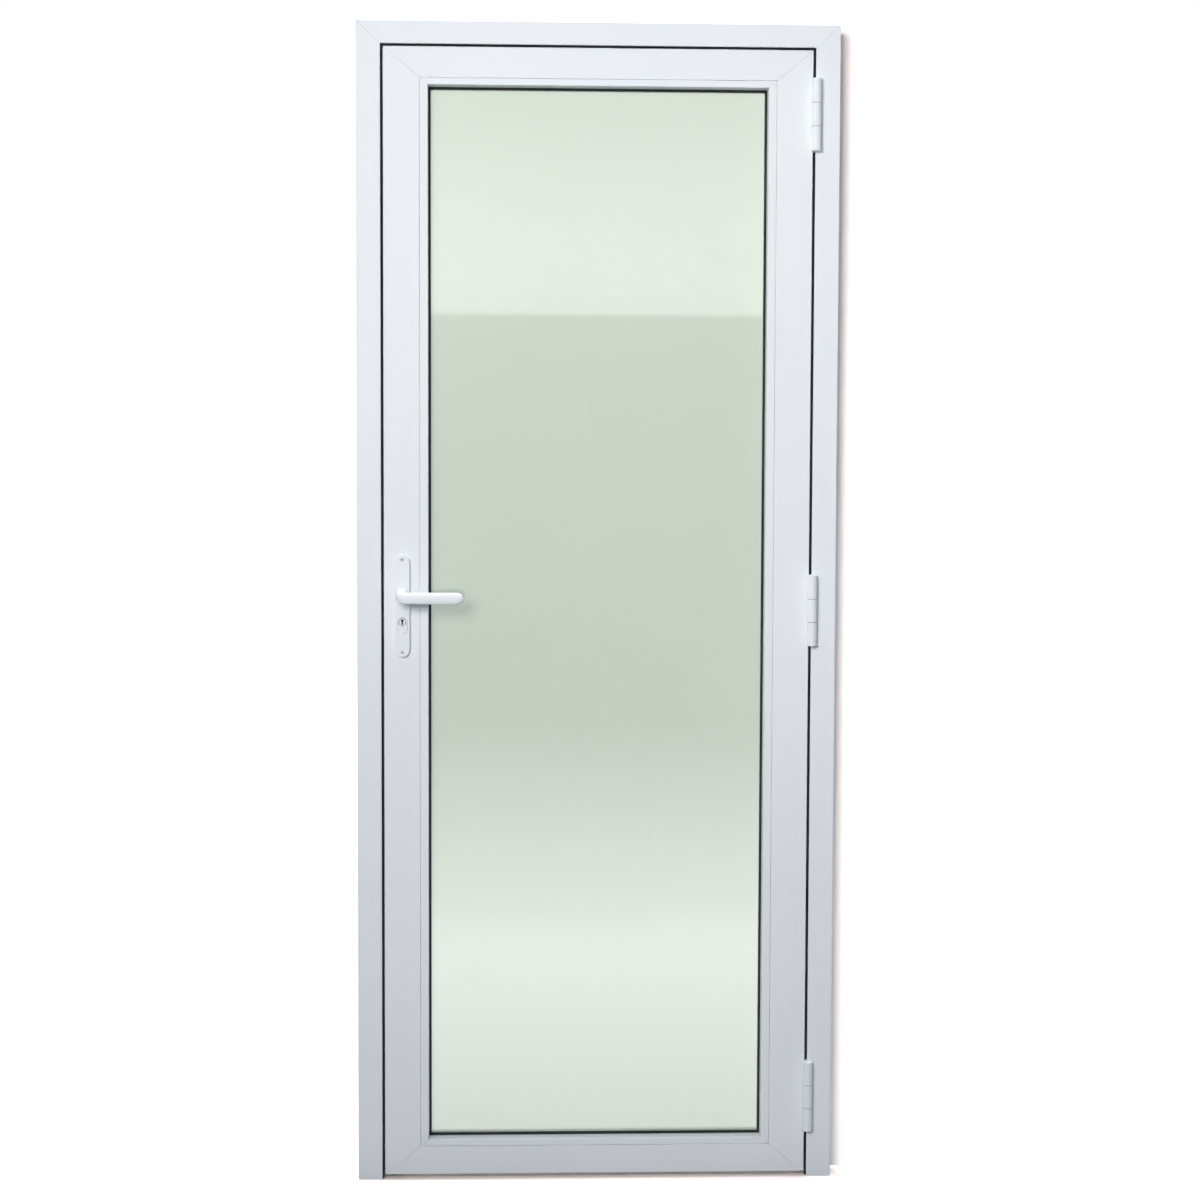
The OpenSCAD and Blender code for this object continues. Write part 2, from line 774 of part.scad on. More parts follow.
module leaf_corner_cleats() {
    in = groove_depth + wall + push_gap;
    deep = wall + push_gap;
    side = stile_face - clip_depth - deep;
    up = rail_face - clip_depth - deep;
    slope = rail_face / stile_face;
    mid = (leaf_top + leaf_foot) / 2;
    color([0.72, 0.73, 0.74]) for (s = [0, 1])
        for (t = [0, 1])
            mirror([s, 0, 0]) translate([0, 0, mid]) mirror([0, 0, t])
                translate([lock_edge + in, face_y + deep, in - leaf_h / 2])
                    cleat(min(side, up / slope) - in, min(up, side * slope) - in, leaf_depth - 2 * deep);
}

module glass_pane() {
    color([0.78, 0.88, 0.82, 0.45])
        box([lock_edge + glass_in.x, face_y + glass_front, leaf_foot + glass_in.y],
            [edge_x - glass_in.x, face_y + glass_back, leaf_top - glass_in.y]);
}

module bead_lock_side() {
    color([0.93, 0.94, 0.95]) on_lock_side()
        mitred(leaf_h, stile_sight, rail_sight, true) bead_profile(stile_face, stile_sight);
}

module bead_hinge_side() {
    color([0.93, 0.94, 0.95]) on_hinge_side()
        mitred(leaf_h, stile_sight, rail_sight, true) bead_profile(stile_face, stile_sight);
}

module bead_top() {
    color([0.93, 0.94, 0.95]) on_top()
        mitred(leaf_w, rail_sight, stile_sight, true) bead_profile(rail_face, rail_sight);
}

module bead_bottom() {
    color([0.93, 0.94, 0.95]) on_bottom()
        mitred(leaf_w, rail_sight, stile_sight, true) bead_profile(rail_face, rail_sight);
}

// Wedge gasket between the bead and the glass
module inner_gasket() {
    color([0.08, 0.08, 0.09]) {
        leaf_ring(grow(glass_in, 1.5), grow(sight, -1), bead_depth, glass_front);
        leaf_ring(grow(sight, -1 - eps), grow(sight, gasket_show), bead_depth + 0.8, glass_front);
    }
}

// Gasket pushed into the glazing lip, behind the glass
module outer_gasket() {
    mid = grow(sight, -holder_w / 2);
    foot = slot_w / 2 - push_gap;
    stem = slot_mouth / 2 - push_gap;
    lip_d = leaf_depth - holder_d;
    color([0.08, 0.08, 0.09]) {
        leaf_ring(grow(mid, -foot), grow(mid, foot), lip_d + 1.4 + push_gap, leaf_depth - 1.2 - push_gap);
        leaf_ring(grow(mid, -stem), grow(mid, stem), lip_d - 1, lip_d + 1.4 + 2 * push_gap);
        leaf_ring(grow(mid, -2.5), grow(sight, gasket_show), glass_back, lip_d);
    }
}

// Blocks that carry the glass at the bottom and keep it square at the sides and the top
module setting_blocks() {
    d0 = face_y + glass_front - 1;
    d1 = face_y + glass_back + 1;
    far = edge_x - rebate.x - block_in;
    half = block_len / 2;
    color([0.25, 0.27, 0.3]) {
        for (s = [-1, 1])
            box([s * far - half, d0, leaf_foot + rebate.y], [s * far + half, d1, leaf_foot + glass_in.y]);
        box([-far - half, d0, leaf_top - glass_in.y], [half - far, d1, leaf_top - rebate.y]);
        box([edge_x - glass_in.x, d0, leaf_foot + block_up],
            [edge_x - rebate.x, d1, leaf_foot + block_up + block_len]);
        box([lock_edge + rebate.x, d0, leaf_top - block_up - block_len],
            [lock_edge + glass_in.x, d1, leaf_top - block_up]);
    }
}

// Holes for the follower and the key cylinder, through both sides of the lock case
module case_side_holes() {
    rod_y(-case_t, case_t, follower_boss_r + run_gap, spindle_x, spindle_z);
    cylinder_bar(push_gap, -case_t, case_t);
}

// Holes for both bolts and the cylinder screw, through the forend and the front of the case
module bolt_holes() {
    x0 = lock_edge - 1;
    x1 = lock_edge + forend_t + case_wall + 1;
    y = bolt_t / 2 + slide_gap;
    box([x0, -y, spindle_z + latch_mid - latch_tall / 2 - slide_gap],
        [x1, y, spindle_z + latch_mid + latch_tall / 2 + slide_gap]);
    box([x0, -y, spindle_z + bolt_low - slide_gap], [x1, y, spindle_z + bolt_top + slide_gap]);
    toward_x(lock_edge, 0, cyl_screw_z, 1) flat_hole(2, 3.6, forend_t + case_wall + 1);
}

// Tray of the lock case
module lock_case() {
    x0 = lock_edge + forend_t;
    x1 = lock_edge + case_back;
    z0 = spindle_z + case_low;
    z1 = spindle_z + case_top;
    w = case_wall;
    color([0.6, 0.61, 0.63]) difference() {
        box([x0, w - case_t / 2, z0], [x1, case_t / 2, z1]);
        box([x0 + w, -case_t, z0 + w], [x1 - w, case_t / 2 - w, z1 - w]);
        case_side_holes();
        bolt_holes();
    }
}

// Cover of the lock case
module lock_cover() {
    color([0.6, 0.61, 0.63]) difference() {
        box([lock_edge + forend_t, -case_t / 2, spindle_z + case_low],
            [lock_edge + case_back, case_wall - case_t / 2, spindle_z + case_top]);
        case_side_holes();
    }
}

module lock_forend() {
    z0 = spindle_z + forend_low;
    z1 = spindle_z + forend_top;
    color([0.75, 0.76, 0.77]) difference() {
        box([lock_edge, -forend_w / 2, z0], [lock_edge + forend_t, forend_w / 2, z1]);
        bolt_holes();
        for (z = [z0 + forend_screw_in, z1 - forend_screw_in])
            toward_x(lock_edge, 0, z, 1) flat_hole(2, 3.4, 6);
    }
}

module forend_blocks() {
    color([0.66, 0.67, 0.68]) for (z = [forend_low + forend_screw_in, forend_top - forend_screw_in])
        difference() {
            translate([lock_edge, 0, spindle_z + z]) box(
                [forend_t + 0.1, push_gap - groove_in / 2, -9],
                [groove_depth - 0.1, groove_in / 2 - push_gap, 9]);
            toward_x(lock_edge, 0, spindle_z + z, 1) flat_hole(2, 3.4, 15);
        }
}

module forend_screws() {
    color([0.7, 0.7, 0.72]) for (z = [forend_low + forend_screw_in, forend_top - forend_screw_in])
        toward_x(lock_edge, 0, spindle_z + z, 1) flat_screw(2, 3.4, 8.5);
}

// Bevelled latch with its tail, the hook that the follower pulls and the guide of its spring
module latch_bolt() {
    half = bolt_t / 2;
    color([0.75, 0.76, 0.77]) translate([lock_edge, 0, spindle_z]) {
        translate([0, 0, latch_mid - latch_tall / 2]) linear_extrude(latch_tall) polygon([
            [-latch_travel, -half],
            [-latch_travel, 2 - half],
            [-1, half],
            [13, half],
            [13, -half]
        ]);
        box([12, -3.5, tail_low], [hook_at + hook_t, 3.5, tail_low + tail_tall]);
        box([hook_at, -4.5, hook_low],
            [hook_at + hook_t, 4.5, tail_low + tail_tall + 2]);
        rod_x(hook_at + hook_t - 0.5, hook_at + hook_t + 8.5, 2, 0, tail_low);
    }
}

// One point of the coil's centre line, by its turn
function coil_at(t, turns, length, r) =
    [length * t / turns, r * cos(360 * t), r * sin(360 * t)];

// Points round the wire at one place of the coil
function coil_ring(t, turns, length, r, wire, sides) = [
    for (k = [0 : sides - 1])
        let (a = 360 * k / sides, c = coil_at(t, turns, length, r))
            c + wire * [cos(a), sin(a) * cos(360 * t), sin(a) * sin(360 * t)]
];

// Round wire wound along X
module coil(length, r, wire, turns) {
    sides = 8;
    per_turn = 20;
    steps = turns * per_turn;
    points = [for (i = [0 : steps]) each coil_ring(i / per_turn, turns, length, r, wire, sides)];
    walls = [
        for (i = [0 : steps - 1])
            for (k = [0 : sides - 1])
                let (n = (k + 1) % sides)
                    [i * sides + k, (i + 1) * sides + k, (i + 1) * sides + n, i * sides + n]
    ];
    first = [for (k = [0 : sides - 1]) k];
    last = [for (k = [0 : sides - 1]) steps * sides + sides - 1 - k];
    polyhedron(points = points, faces = concat(walls, [first, last]));
}

// Spring between the latch's hook and the back of the case
module latch_spring() {
    wire = 0.45;
    x0 = hook_at + hook_t + wire + 0.02;
    x1 = case_back - case_wall - wire - 0.02;
    color([0.7, 0.7, 0.72]) translate([lock_edge + x0, 0, spindle_z + tail_low]) coil(x1 - x0, 3, wire, 6);
}

// Deadbolt with its tail and the notch that the cam runs through
module deadbolt() {
    notch_mid = backset + bolt_travel / 2;
    color([0.75, 0.76, 0.77]) translate([lock_edge, 0, spindle_z]) difference() {
        union() {
            box([0.3, -bolt_t / 2, bolt_low], [24, bolt_t / 2, bolt_top]);
            box([23, -3.5, bolt_low], [case_back - case_wall - 1.5, 3.5, bolt_top - 3]);
        }
        box([notch_mid - 11, -bolt_t, bolt_low - 1], [notch_mid + 11, bolt_t, cam_reach - cylinder_drop + 1]);
    }
}

module cylinder_body() {
    color([0.85, 0.85, 0.84]) difference() {
        cylinder_bar(0, -cyl_end, cyl_end);
        rod_y(-cyl_end - 1, cyl_end + 1, plug_d / 2 + run_gap, spindle_x, cyl_z);
        box([spindle_x - cyl_w, -5.2, cyl_z - cam_reach - 0.4], [spindle_x + cyl_w, 5.2, cyl_z + cyl_w]);
        rod_x(spindle_x - cyl_w, spindle_x + cyl_w, 2 + screw_gap, 0, cyl_screw_z);
    }
}

module cylinder_screw() {
    color([0.7, 0.7, 0.72]) toward_x(lock_edge, 0, cyl_screw_z, 1) flat_screw(2, 3.6, backset + cyl_r - 1);
}

// Plug with its keyway, built for the inside
module plug() {
    difference() {
        union() {
            rod_y(0.8 - cyl_end, -5, plug_d / 2, 0, 0);
            translate([0, 0.4 - cyl_end, 0]) rotate([-90, 0, 0])
                cylinder(h = 0.4 + eps, r1 = plug_d / 2 - 0.4, r2 = plug_d / 2);
            rod_y(-5 - eps, -0.2, 3.9, 0, 0);
        }
        rod_y(-cyl_end, 18 - cyl_end, key_r, 0, key_up);
        box([-key_w / 2, -cyl_end, key_low], [key_w / 2, 18 - cyl_end, key_up]);
    }
}

module inside_plug() {
    color([0.8, 0.78, 0.72]) translate([spindle_x, 0, cyl_z]) plug();
}

module outside_plug() {
    color([0.8, 0.78, 0.72]) translate([spindle_x, 0, cyl_z]) mirror([0, 1, 0]) plug();
}

// Cam that both plugs turn; its nose points down at rest
module lock_cam() {
    color([0.55, 0.56, 0.58]) translate([spindle_x, 0, cyl_z]) difference() {
        union() {
            rod_y(-4.8, 4.8, 7, 0, 0);
            intersection() {
                box([-3, -4.8, -cam_reach - 1], [3, 4.8, 0]);
                rod_y(-5, 5, cam_reach, 0, 0);
            }
        }
        rod_y(-6, 6, 3.95, 0, 0);
    }
}

// Half of a plate's cross-section: X from its middle out, Y from its back to its rounded front
module plate_half(half, deep, r) {
    rect([0, 0], [half - r, deep]);
    rect([0, 0], [half, deep - r]);
    translate([half - r, deep - r]) circle(r);
}

// Plate with round ends and a rounded front edge, standing on the leaf's inside face
module plate_blank(half, deep, r) {
    z0 = half - plate_down;
    z1 = plate_up - half;
    for (z = [z0, z1])
        translate([0, face_y, z]) rotate([90, 0, 0]) rotate_extrude() plate_half(half, deep, r);
    translate([0, face_y, z0]) linear_extrude(z1 - z0) for (s = [0, 1])
        mirror([s, 0]) mirror([0, 1]) plate_half(half, deep, r);
}

// Plate with the holes that both plates share, and hollows in its back
module handle_plate() {
    in = 9.5;
    back = face_y - plate_t + 2.2;
    difference() {
        translate([spindle_x, 0, spindle_z]) plate_blank(plate_w / 2, plate_t, 2.4);
        rod_y(face_y - 2 * plate_t, face_y + 1, neck_d / 2 + run_gap, spindle_x, spindle_z);
        cylinder_bar(0.6, face_y - 2 * plate_t, face_y + 1);
        translate([spindle_x, 0, spindle_z]) {
            box([-in, back, 16], [in, face_y + 1, plate_screw_z[0] - 9]);
            box([-in, back, cyl_r + 4 - cylinder_drop], [in, face_y + 1, -13]);
            box([-in, back, plate_screw_z[1] + 9], [in, face_y + 1, -cylinder_drop - cyl_low - cyl_r - 4]);
        }
    }
}

module inside_plate() {
    color([0.93, 0.94, 0.95]) difference() {
        handle_plate();
        for (z = plate_screw_z)
            translate([spindle_x, plate_front + 0.2, spindle_z + z]) rotate([-90, 0, 0])
                flat_hole(plate_screw_r, plate_head_r, 2 * plate_t);
    }
}

module outside_plate() {
    color([0.93, 0.94, 0.95]) mirror([0, 1, 0]) difference() {
        handle_plate();
        for (z = plate_screw_z)
            rod_y(face_y - plate_t + 1.5, face_y + 1, plate_screw_r + screw_gap, spindle_x, spindle_z + z);
    }
}

module plate_screws() {
    length = leaf_depth + 2 * plate_t - 2.5;
    color([0.8, 0.81, 0.82]) for (z = plate_screw_z)
        translate([spindle_x, plate_front + 0.2, spindle_z + z]) rotate([-90, 0, 0])
            flat_screw(plate_screw_r, plate_head_r, length);
}

// Ease from 0 to 1
function ease(t) = t * t * (3 - 2 * t);

// Part of the way from one value to another
function mix(a, b, t) = a + (b - a) * t;

// Lost height at a place in an oval corner of the given length and height
function corner(past, long, tall) = past <= 0 ? 0 : tall * (1 - sqrt(max(0, 1 - pow(past / long, 2))));

// Upright oval ring of the lever, across the given heading in the plan
function oval(x, y, heading, half, low, high, roundness) = [
    for (k = [0 : lever_sides - 1])
        let (
            a = 360 * k / lever_sides,
            u = half * sign(cos(a)) * pow(abs(cos(a)), 2 / roundness),
            v = sign(sin(a)) * pow(abs(sin(a)), 2 / roundness)
        )
            [x + u * cos(heading), y + u * sin(heading), (high + low + v * (high - low)) / 2]
];

// Share of the way from the round neck to the oval grip, by the distance along the lever's middle line
function flow(way) = ease(min(1, way / (neck_run + elbow_r * PI / 3)));

// Ring that has flowed some way from the neck's round to the grip's lower oval
function flow_ring(x, y, heading, half, way) =
    let (t = flow(way))
        oval(x, y, heading, half,
            mix(-neck_in, -grip_drop - lever_tall / 2, t),
            mix(neck_in, lever_tall / 2 - grip_drop, t), mix(2, 2.5, t));

// Ring of the neck, by its distance from where the flow starts
function neck_ring(way) =
    flow_ring(0, turn_y + neck_run - way, 0, mix(neck_in, neck_wide / 2, ease(way / neck_run)), way);

// Ring in the lever's turn, by its angle
function turn_ring(a) =
    flow_ring(elbow_r * (1 - cos(a)), turn_y - elbow_r * sin(a), a,
        mix(neck_wide, lever_deep, ease(a / 90)) / 2, neck_run + elbow_r * PI * a / 180);

// Ring of the grip, by its distance from the spindle and the share of its depth
function grip_ring(x, share) =
    oval(x, grip_y, 90, lever_deep / 2 * share,
        -grip_drop - lever_tall / 2 + corner(x - lever_len + tip_long, tip_long, tip_rise),
        -grip_drop + lever_tall / 2 - corner(x - lever_len + tip_top_long, tip_top_long, tip_fall), 2.5);

// Skin through rings of one count, with a flat end at each side
module loft(rings) {
    n = len(rings[0]);
    last = len(rings) - 1;
    walls = [
        for (i = [0 : last - 1])
            for (k = [0 : n - 1])
                let (a = i * n + k, b = i * n + (k + 1) % n)
                    each [[a, b + n, b], [a, a + n, b + n]]
    ];
    near = [for (k = [0 : n - 1]) k];
    far = [for (k = [0 : n - 1]) last * n + n - 1 - k];
    polyhedron(points = [for (r = rings) each r], faces = concat(walls, [near, far]));
}

// Lever for the inside face, with the spindle at X = 0 and Z = 0
module lever() {
    r = neck_d / 2;
    tip = lever_len - lever_deep / 2;
    difference() {
        union() {
            rod_y(plate_front - 5, face_y - 1.5, r, 0, 0);
            loft(concat(
                [oval(0, plate_front - 3, 0, neck_in, -neck_in, neck_in, 2)],
                [for (k = [0 : 0.2 : 0.8]) neck_ring(k * neck_run)],
                [for (a = [0 : 10 : 90]) turn_ring(a)],
                [for (x = [0.3, 0.6, 1]) grip_ring(mix(elbow_r, lever_len - tip_long, x), 1)],
                [for (x = [0.3, 0.55, 0.8]) grip_ring(mix(lever_len - tip_long, tip, x), 1)],
                [for (a = [0, 20, 38, 54, 68, 80, 90])
                    grip_ring(mix(tip, lever_len, sin(a)), mix(0.25, 1, cos(a)))]
            ));
        }
        box([-spindle_w / 2 - 0.05, socket_end, -spindle_w / 2 - 0.05],
            [spindle_w / 2 + 0.05, face_y + 1, spindle_w / 2 + 0.05]);
        translate([0, grub_y, 0]) cylinder(h = lever_tall, r = 2.5 + screw_gap);
    }
}

module inside_lever() {
    color([0.93, 0.94, 0.95]) translate([spindle_x, 0, spindle_z]) lever();
}

module outside_lever() {
    color([0.93, 0.94, 0.95]) translate([spindle_x, 0, spindle_z]) mirror([0, 1, 0]) lever();
}

// Square bar through both levers and the follower
module spindle() {
    half = spindle_w / 2;
    end = 0.5 - socket_end;
    color([0.7, 0.7, 0.72]) translate([spindle_x, 0, spindle_z])
        box([-half, 1 - end, -half], [half, end - 1, half]);
}

// Follower that the spindle turns; its arm pulls the latch's hook
module follower() {
    half = spindle_w / 2 + 0.05;
    color([0.6, 0.61, 0.63]) translate([spindle_x, 0, spindle_z]) difference() {
        union() {
            rod_y(-5.5, 5.5, follower_r, 0, 0);
            rod_y(-case_t / 2 + 0.1, case_t / 2 - 0.1, follower_boss_r, 0, 0);
            rotate([0, -lever_turn / 2, 0]) {
                box([-arm_tip_r, -4, 0], [arm_tip_r, 4, arm_r]);
                rod_y(-4, 4, arm_tip_r, 0, arm_r);
            }
        }
        box([-half, -case_t, -half], [half, case_t, half]);
    }
}

// Grub screws that hold the levers on the spindle
module lever_grub_screws() {
    color([0.35, 0.36, 0.38]) for (s = [-1, 1])
        translate([spindle_x, s * grub_y, spindle_z + spindle_w / 2 + 0.02]) difference() {
            cylinder(h = 4.6, r = 2.5);
            translate([0, 0, 2.4]) cylinder(h = 4, r = 1.3, $fn = 6);
        }
}

frame_lock_jamb();
frame_hinge_jamb();
frame_head();
frame_corner_cleats();
frame_stop_seal();
strike_plate();
strike_blocks();
strike_screws();
hinge_top_frame_wing();
hinge_mid_frame_wing();
hinge_low_frame_wing();
hinge_top_pin();
hinge_mid_pin();
hinge_low_pin();
hinge_caps();
hinge_frame_blocks();
hinge_frame_screws();
leaf_lock_stile();
leaf_hinge_stile();
leaf_top_rail();
leaf_bottom_rail();
leaf_corner_cleats();
glass_pane();
bead_lock_side();
bead_hinge_side();
bead_top();
bead_bottom();
inner_gasket();
outer_gasket();
setting_blocks();
hinge_top_leaf_wing();
hinge_mid_leaf_wing();
hinge_low_leaf_wing();
hinge_bushes();
hinge_leaf_blocks();
hinge_leaf_screws();
lock_case();
lock_cover();
lock_forend();
forend_blocks();
forend_screws();
latch_bolt();
latch_spring();
deadbolt();
cylinder_body();
cylinder_screw();
inside_plug();
outside_plug();
lock_cam();
inside_plate();
outside_plate();
plate_screws();
inside_lever();
outside_lever();
spindle();
follower();
lever_grub_screws();
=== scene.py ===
# %% [markdown]
# A full-height glass door stands in its frame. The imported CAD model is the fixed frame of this
# lesson: every node is already where it belongs, in metres, with the floor at z = 0, the inside
# face toward -Y and the hinges at +X. Blender adds the finishes, the finer pieces and the light.

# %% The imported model
import json
import math

import bmesh
import bpy
from mathutils import Matrix, Vector

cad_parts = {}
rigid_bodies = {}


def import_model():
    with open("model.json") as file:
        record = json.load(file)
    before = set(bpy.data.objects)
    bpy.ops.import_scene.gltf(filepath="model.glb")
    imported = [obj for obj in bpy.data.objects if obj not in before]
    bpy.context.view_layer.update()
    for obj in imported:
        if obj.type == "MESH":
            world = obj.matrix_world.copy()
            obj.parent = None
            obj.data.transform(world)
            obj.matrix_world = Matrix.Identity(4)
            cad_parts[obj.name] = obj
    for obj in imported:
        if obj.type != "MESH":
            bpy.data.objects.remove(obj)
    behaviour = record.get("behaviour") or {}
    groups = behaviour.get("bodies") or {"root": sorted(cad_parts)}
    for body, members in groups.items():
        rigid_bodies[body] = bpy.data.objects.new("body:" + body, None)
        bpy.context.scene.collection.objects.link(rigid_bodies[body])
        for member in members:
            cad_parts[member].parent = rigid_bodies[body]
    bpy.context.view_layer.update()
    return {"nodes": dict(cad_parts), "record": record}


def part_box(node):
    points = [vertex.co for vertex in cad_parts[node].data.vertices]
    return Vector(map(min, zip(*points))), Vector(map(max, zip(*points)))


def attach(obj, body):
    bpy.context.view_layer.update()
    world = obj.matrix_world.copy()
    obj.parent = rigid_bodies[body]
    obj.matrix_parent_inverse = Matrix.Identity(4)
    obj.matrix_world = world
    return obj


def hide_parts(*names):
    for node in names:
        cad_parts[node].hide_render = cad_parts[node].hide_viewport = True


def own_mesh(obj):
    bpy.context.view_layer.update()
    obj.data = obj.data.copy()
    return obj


for leftover in list(bpy.data.objects):
    bpy.data.objects.remove(leftover)
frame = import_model()
nodes = frame["nodes"]
slot_of = {p["node"]: p["material_slot"] for p in frame["record"]["subparts"]}
scene = bpy.context.scene
print("nodes:", len(nodes), "slots:", sorted(set(slot_of.values())))

# %% [markdown]
# The camera could be set by eye, but a door is a large rectangle, and its four outer corners fix
# where the photograph was taken from. The position and the three turns below put those corners
# back on their places in a square picture. A long lens at almost 4 m keeps the stiles upright.

# %% Camera
CAMERA_AT = Vector((-0.1402, -3.9, 1.2956))
TURN, TILT, ROLL = (math.radians(a) for a in (2.149, -3.354, 0.203))
LENS_MM, SENSOR_MM = 64.19, 36
level = math.cos(TILT)
ahead = Vector((math.sin(TURN) * level, math.cos(TURN) * level, math.sin(TILT)))
side = Vector((math.cos(TURN), -math.sin(TURN), 0))
upward = side.cross(ahead)
right = side * math.cos(ROLL) + upward * math.sin(ROLL)
top = upward * math.cos(ROLL) - side * math.sin(ROLL)
lens = bpy.data.cameras.new("camera")
lens.lens = LENS_MM
lens.sensor_width = SENSOR_MM
camera = bpy.data.objects.new("camera", lens)
camera.matrix_world = Matrix((
    (right.x, top.x, -ahead.x, CAMERA_AT.x),
    (right.y, top.y, -ahead.y, CAMERA_AT.y),
    (right.z, top.z, -ahead.z, CAMERA_AT.z),
    (0, 0, 0, 1),
))
scene.collection.objects.link(camera)
scene.camera = camera
scene.view_settings.view_transform = "Standard"
print("camera at", tuple(CAMERA_AT), "lens", lens.lens)

# %% [markdown]
# The studio is a white floor and a white board just behind the frame, where the frame's soft
# shadow falls. Only the camera sees the board, so it doesn't change the light on the door. It is
# clear from behind and fades out at its rim, so it hides nothing and shows no edge. The light from
# all round is a cool grey, so both whites are a little warm. Where the camera, a reflection or
# the glass looks past everything, the world is plain white.


# %% Node helpers
def link(tree, a, b):
    tree.links.new(a, b)


def step(tree, kind, wires, **settings):
    made = tree.nodes.new(kind)
    for label, value in settings.items():
        setattr(made, label, value)
    for label, value in wires.items():
        if isinstance(value, bpy.types.NodeSocket):
            link(tree, value, made.inputs[label])
        else:
            made.inputs[label].default_value = value
    return made


def new_material(name):
    made = bpy.data.materials.new(name)
    made.use_nodes = True
    made.node_tree.nodes.clear()
    return made, made.node_tree


def either(tree, a, b):
    return step(tree, "ShaderNodeMath", {0: a, 1: b}, operation="MAXIMUM").outputs[0]


def soft_range(tree, value, low, high):
    made = step(tree, "ShaderNodeMapRange", {
        "Value": value, "From Min": low, "From Max": high}, interpolation_type="SMOOTHSTEP")
    return made.outputs["Result"]


# %% World
AMBIENT = (0.136, 0.17, 0.219)
world = bpy.data.worlds.new("studio")
scene.world = world
world.use_nodes = True
tree = world.node_tree
tree.nodes.clear()
grey = tree.nodes.new("ShaderNodeBackground")
grey.inputs["Color"].default_value = (*AMBIENT, 1)
white = tree.nodes.new("ShaderNodeBackground")
white.inputs["Color"].default_value = (1, 1, 1, 1)
choose = tree.nodes.new("ShaderNodeMixShader")
ending = tree.nodes.new("ShaderNodeOutputWorld")
path = tree.nodes.new("ShaderNodeLightPath").outputs
mirrored = either(tree, path["Is Glossy Ray"], path["Is Transmission Ray"])
link(tree, either(tree, path["Is Camera Ray"], mirrored), choose.inputs[0])
link(tree, grey.outputs[0], choose.inputs[1])
link(tree, white.outputs[0], choose.inputs[2])
link(tree, choose.outputs[0], ending.inputs["Surface"])
print("world light", AMBIENT)


# %% Floor and board
WARM_WHITE = (1.12, 1.01, 0.94)
FLOOR_HALF = 6
BOARD_HALF, BOARD_TALL, BOARD_GAP = 0.8, 2.5, 0.004
FADE_ASIDE, FADE_ABOVE = (0.55, 0.78), (2.1, 2.45)


def sheet_mesh(name, corners):
    mesh = bpy.data.meshes.new(name)
    mesh.from_pydata(corners, [], [tuple(range(len(corners)))])
    made = bpy.data.objects.new(name, mesh)
    scene.collection.objects.link(made)
    return made


def pale_material(name, shade, along, reach, seen, clear_behind):
    made, tree = new_material(name)
    path = tree.nodes.new("ShaderNodeLightPath").outputs
    place = tree.nodes.new("ShaderNodeTexCoord").outputs["Object"]
    part = step(tree, "ShaderNodeVectorMath", {0: place, 1: along}, operation="MULTIPLY")
    way = step(tree, "ShaderNodeVectorMath", {0: part.outputs[0]}, operation="LENGTH")
    pale = step(tree, "ShaderNodeMapRange", {
        "Value": way.outputs["Value"], "From Min": reach[0], "From Max": reach[1],
        "To Min": seen[0], "To Max": seen[1]})
    warm = step(tree, "ShaderNodeVectorMath", {
        0: WARM_WHITE, "Scale": pale.outputs["Result"]}, operation="SCALE")
    tone = step(tree, "ShaderNodeMix", {
        "Factor": path["Is Camera Ray"], "A": (shade, shade, shade, 1),
        "B": warm.outputs[0]}, data_type="RGBA")
    matt = step(tree, "ShaderNodeBsdfDiffuse", {"Color": tone.outputs["Result"]})
    if clear_behind:
        other = tree.nodes.new("ShaderNodeBsdfTransparent")
        when = tree.nodes.new("ShaderNodeNewGeometry").outputs["Backfacing"]
        split = step(tree, "ShaderNodeSeparateXYZ", {0: place})
        aside = step(tree, "ShaderNodeMath", {0: split.outputs["X"]}, operation="ABSOLUTE")
        for far, fade in ((aside.outputs[0], FADE_ASIDE), (split.outputs["Z"], FADE_ABOVE)):
            when = either(tree, when, soft_range(tree, far, *fade))
    else:
        other = tree.nodes.new("ShaderNodeEmission")
        when = either(tree, path["Is Glossy Ray"], path["Is Transmission Ray"])
    pick = step(tree, "ShaderNodeMixShader", {0: when, 1: matt.outputs[0], 2: other.outputs[0]})
    step(tree, "ShaderNodeOutputMaterial", {"Surface": pick.outputs[0]})
    return made


square = ((-1, -1), (1, -1), (1, 1), (-1, 1))
floor = sheet_mesh("floor", [(x * FLOOR_HALF, y * FLOOR_HALF, 0) for x, y in square])
floor.data.materials.append(pale_material(
    "floor_paint", shade=0.2, along=(1, 1, 0), reach=(1.2, 4.5), seen=(1.3, 6.0),
    clear_behind=False))
back_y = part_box("frame_head")[1].y + BOARD_GAP
upright = ((-1, 0), (1, 0), (1, 1), (-1, 1))
board = sheet_mesh("board", [(x * BOARD_HALF, back_y, z * BOARD_TALL) for x, z in upright])
board.data.materials.append(pale_material(
    "board_paint", shade=0.8, along=(0, 0, 1), reach=(0.0, 1.8), seen=(1.95, 1.25),
    clear_behind=True))
for ray in ("diffuse", "glossy", "transmission", "volume_scatter", "shadow"):
    setattr(board, "visible_" + ray, False)
print("board at y", round(back_y, 4))

# %% [markdown]
# The light comes from the upper left: one large softbox stands in front of the lock side, above
# eye level. A weak one hangs close to the door, for the faces that look up. Both are a little
# warm. A narrow strip leaves a soft shadow on the floor, along the door's foot. It hangs far above
# the door, because close by it would burn out the head before the floor is bright. A softbox
# behind lights the outside face, and a weak one the hinge side, for the views from there.


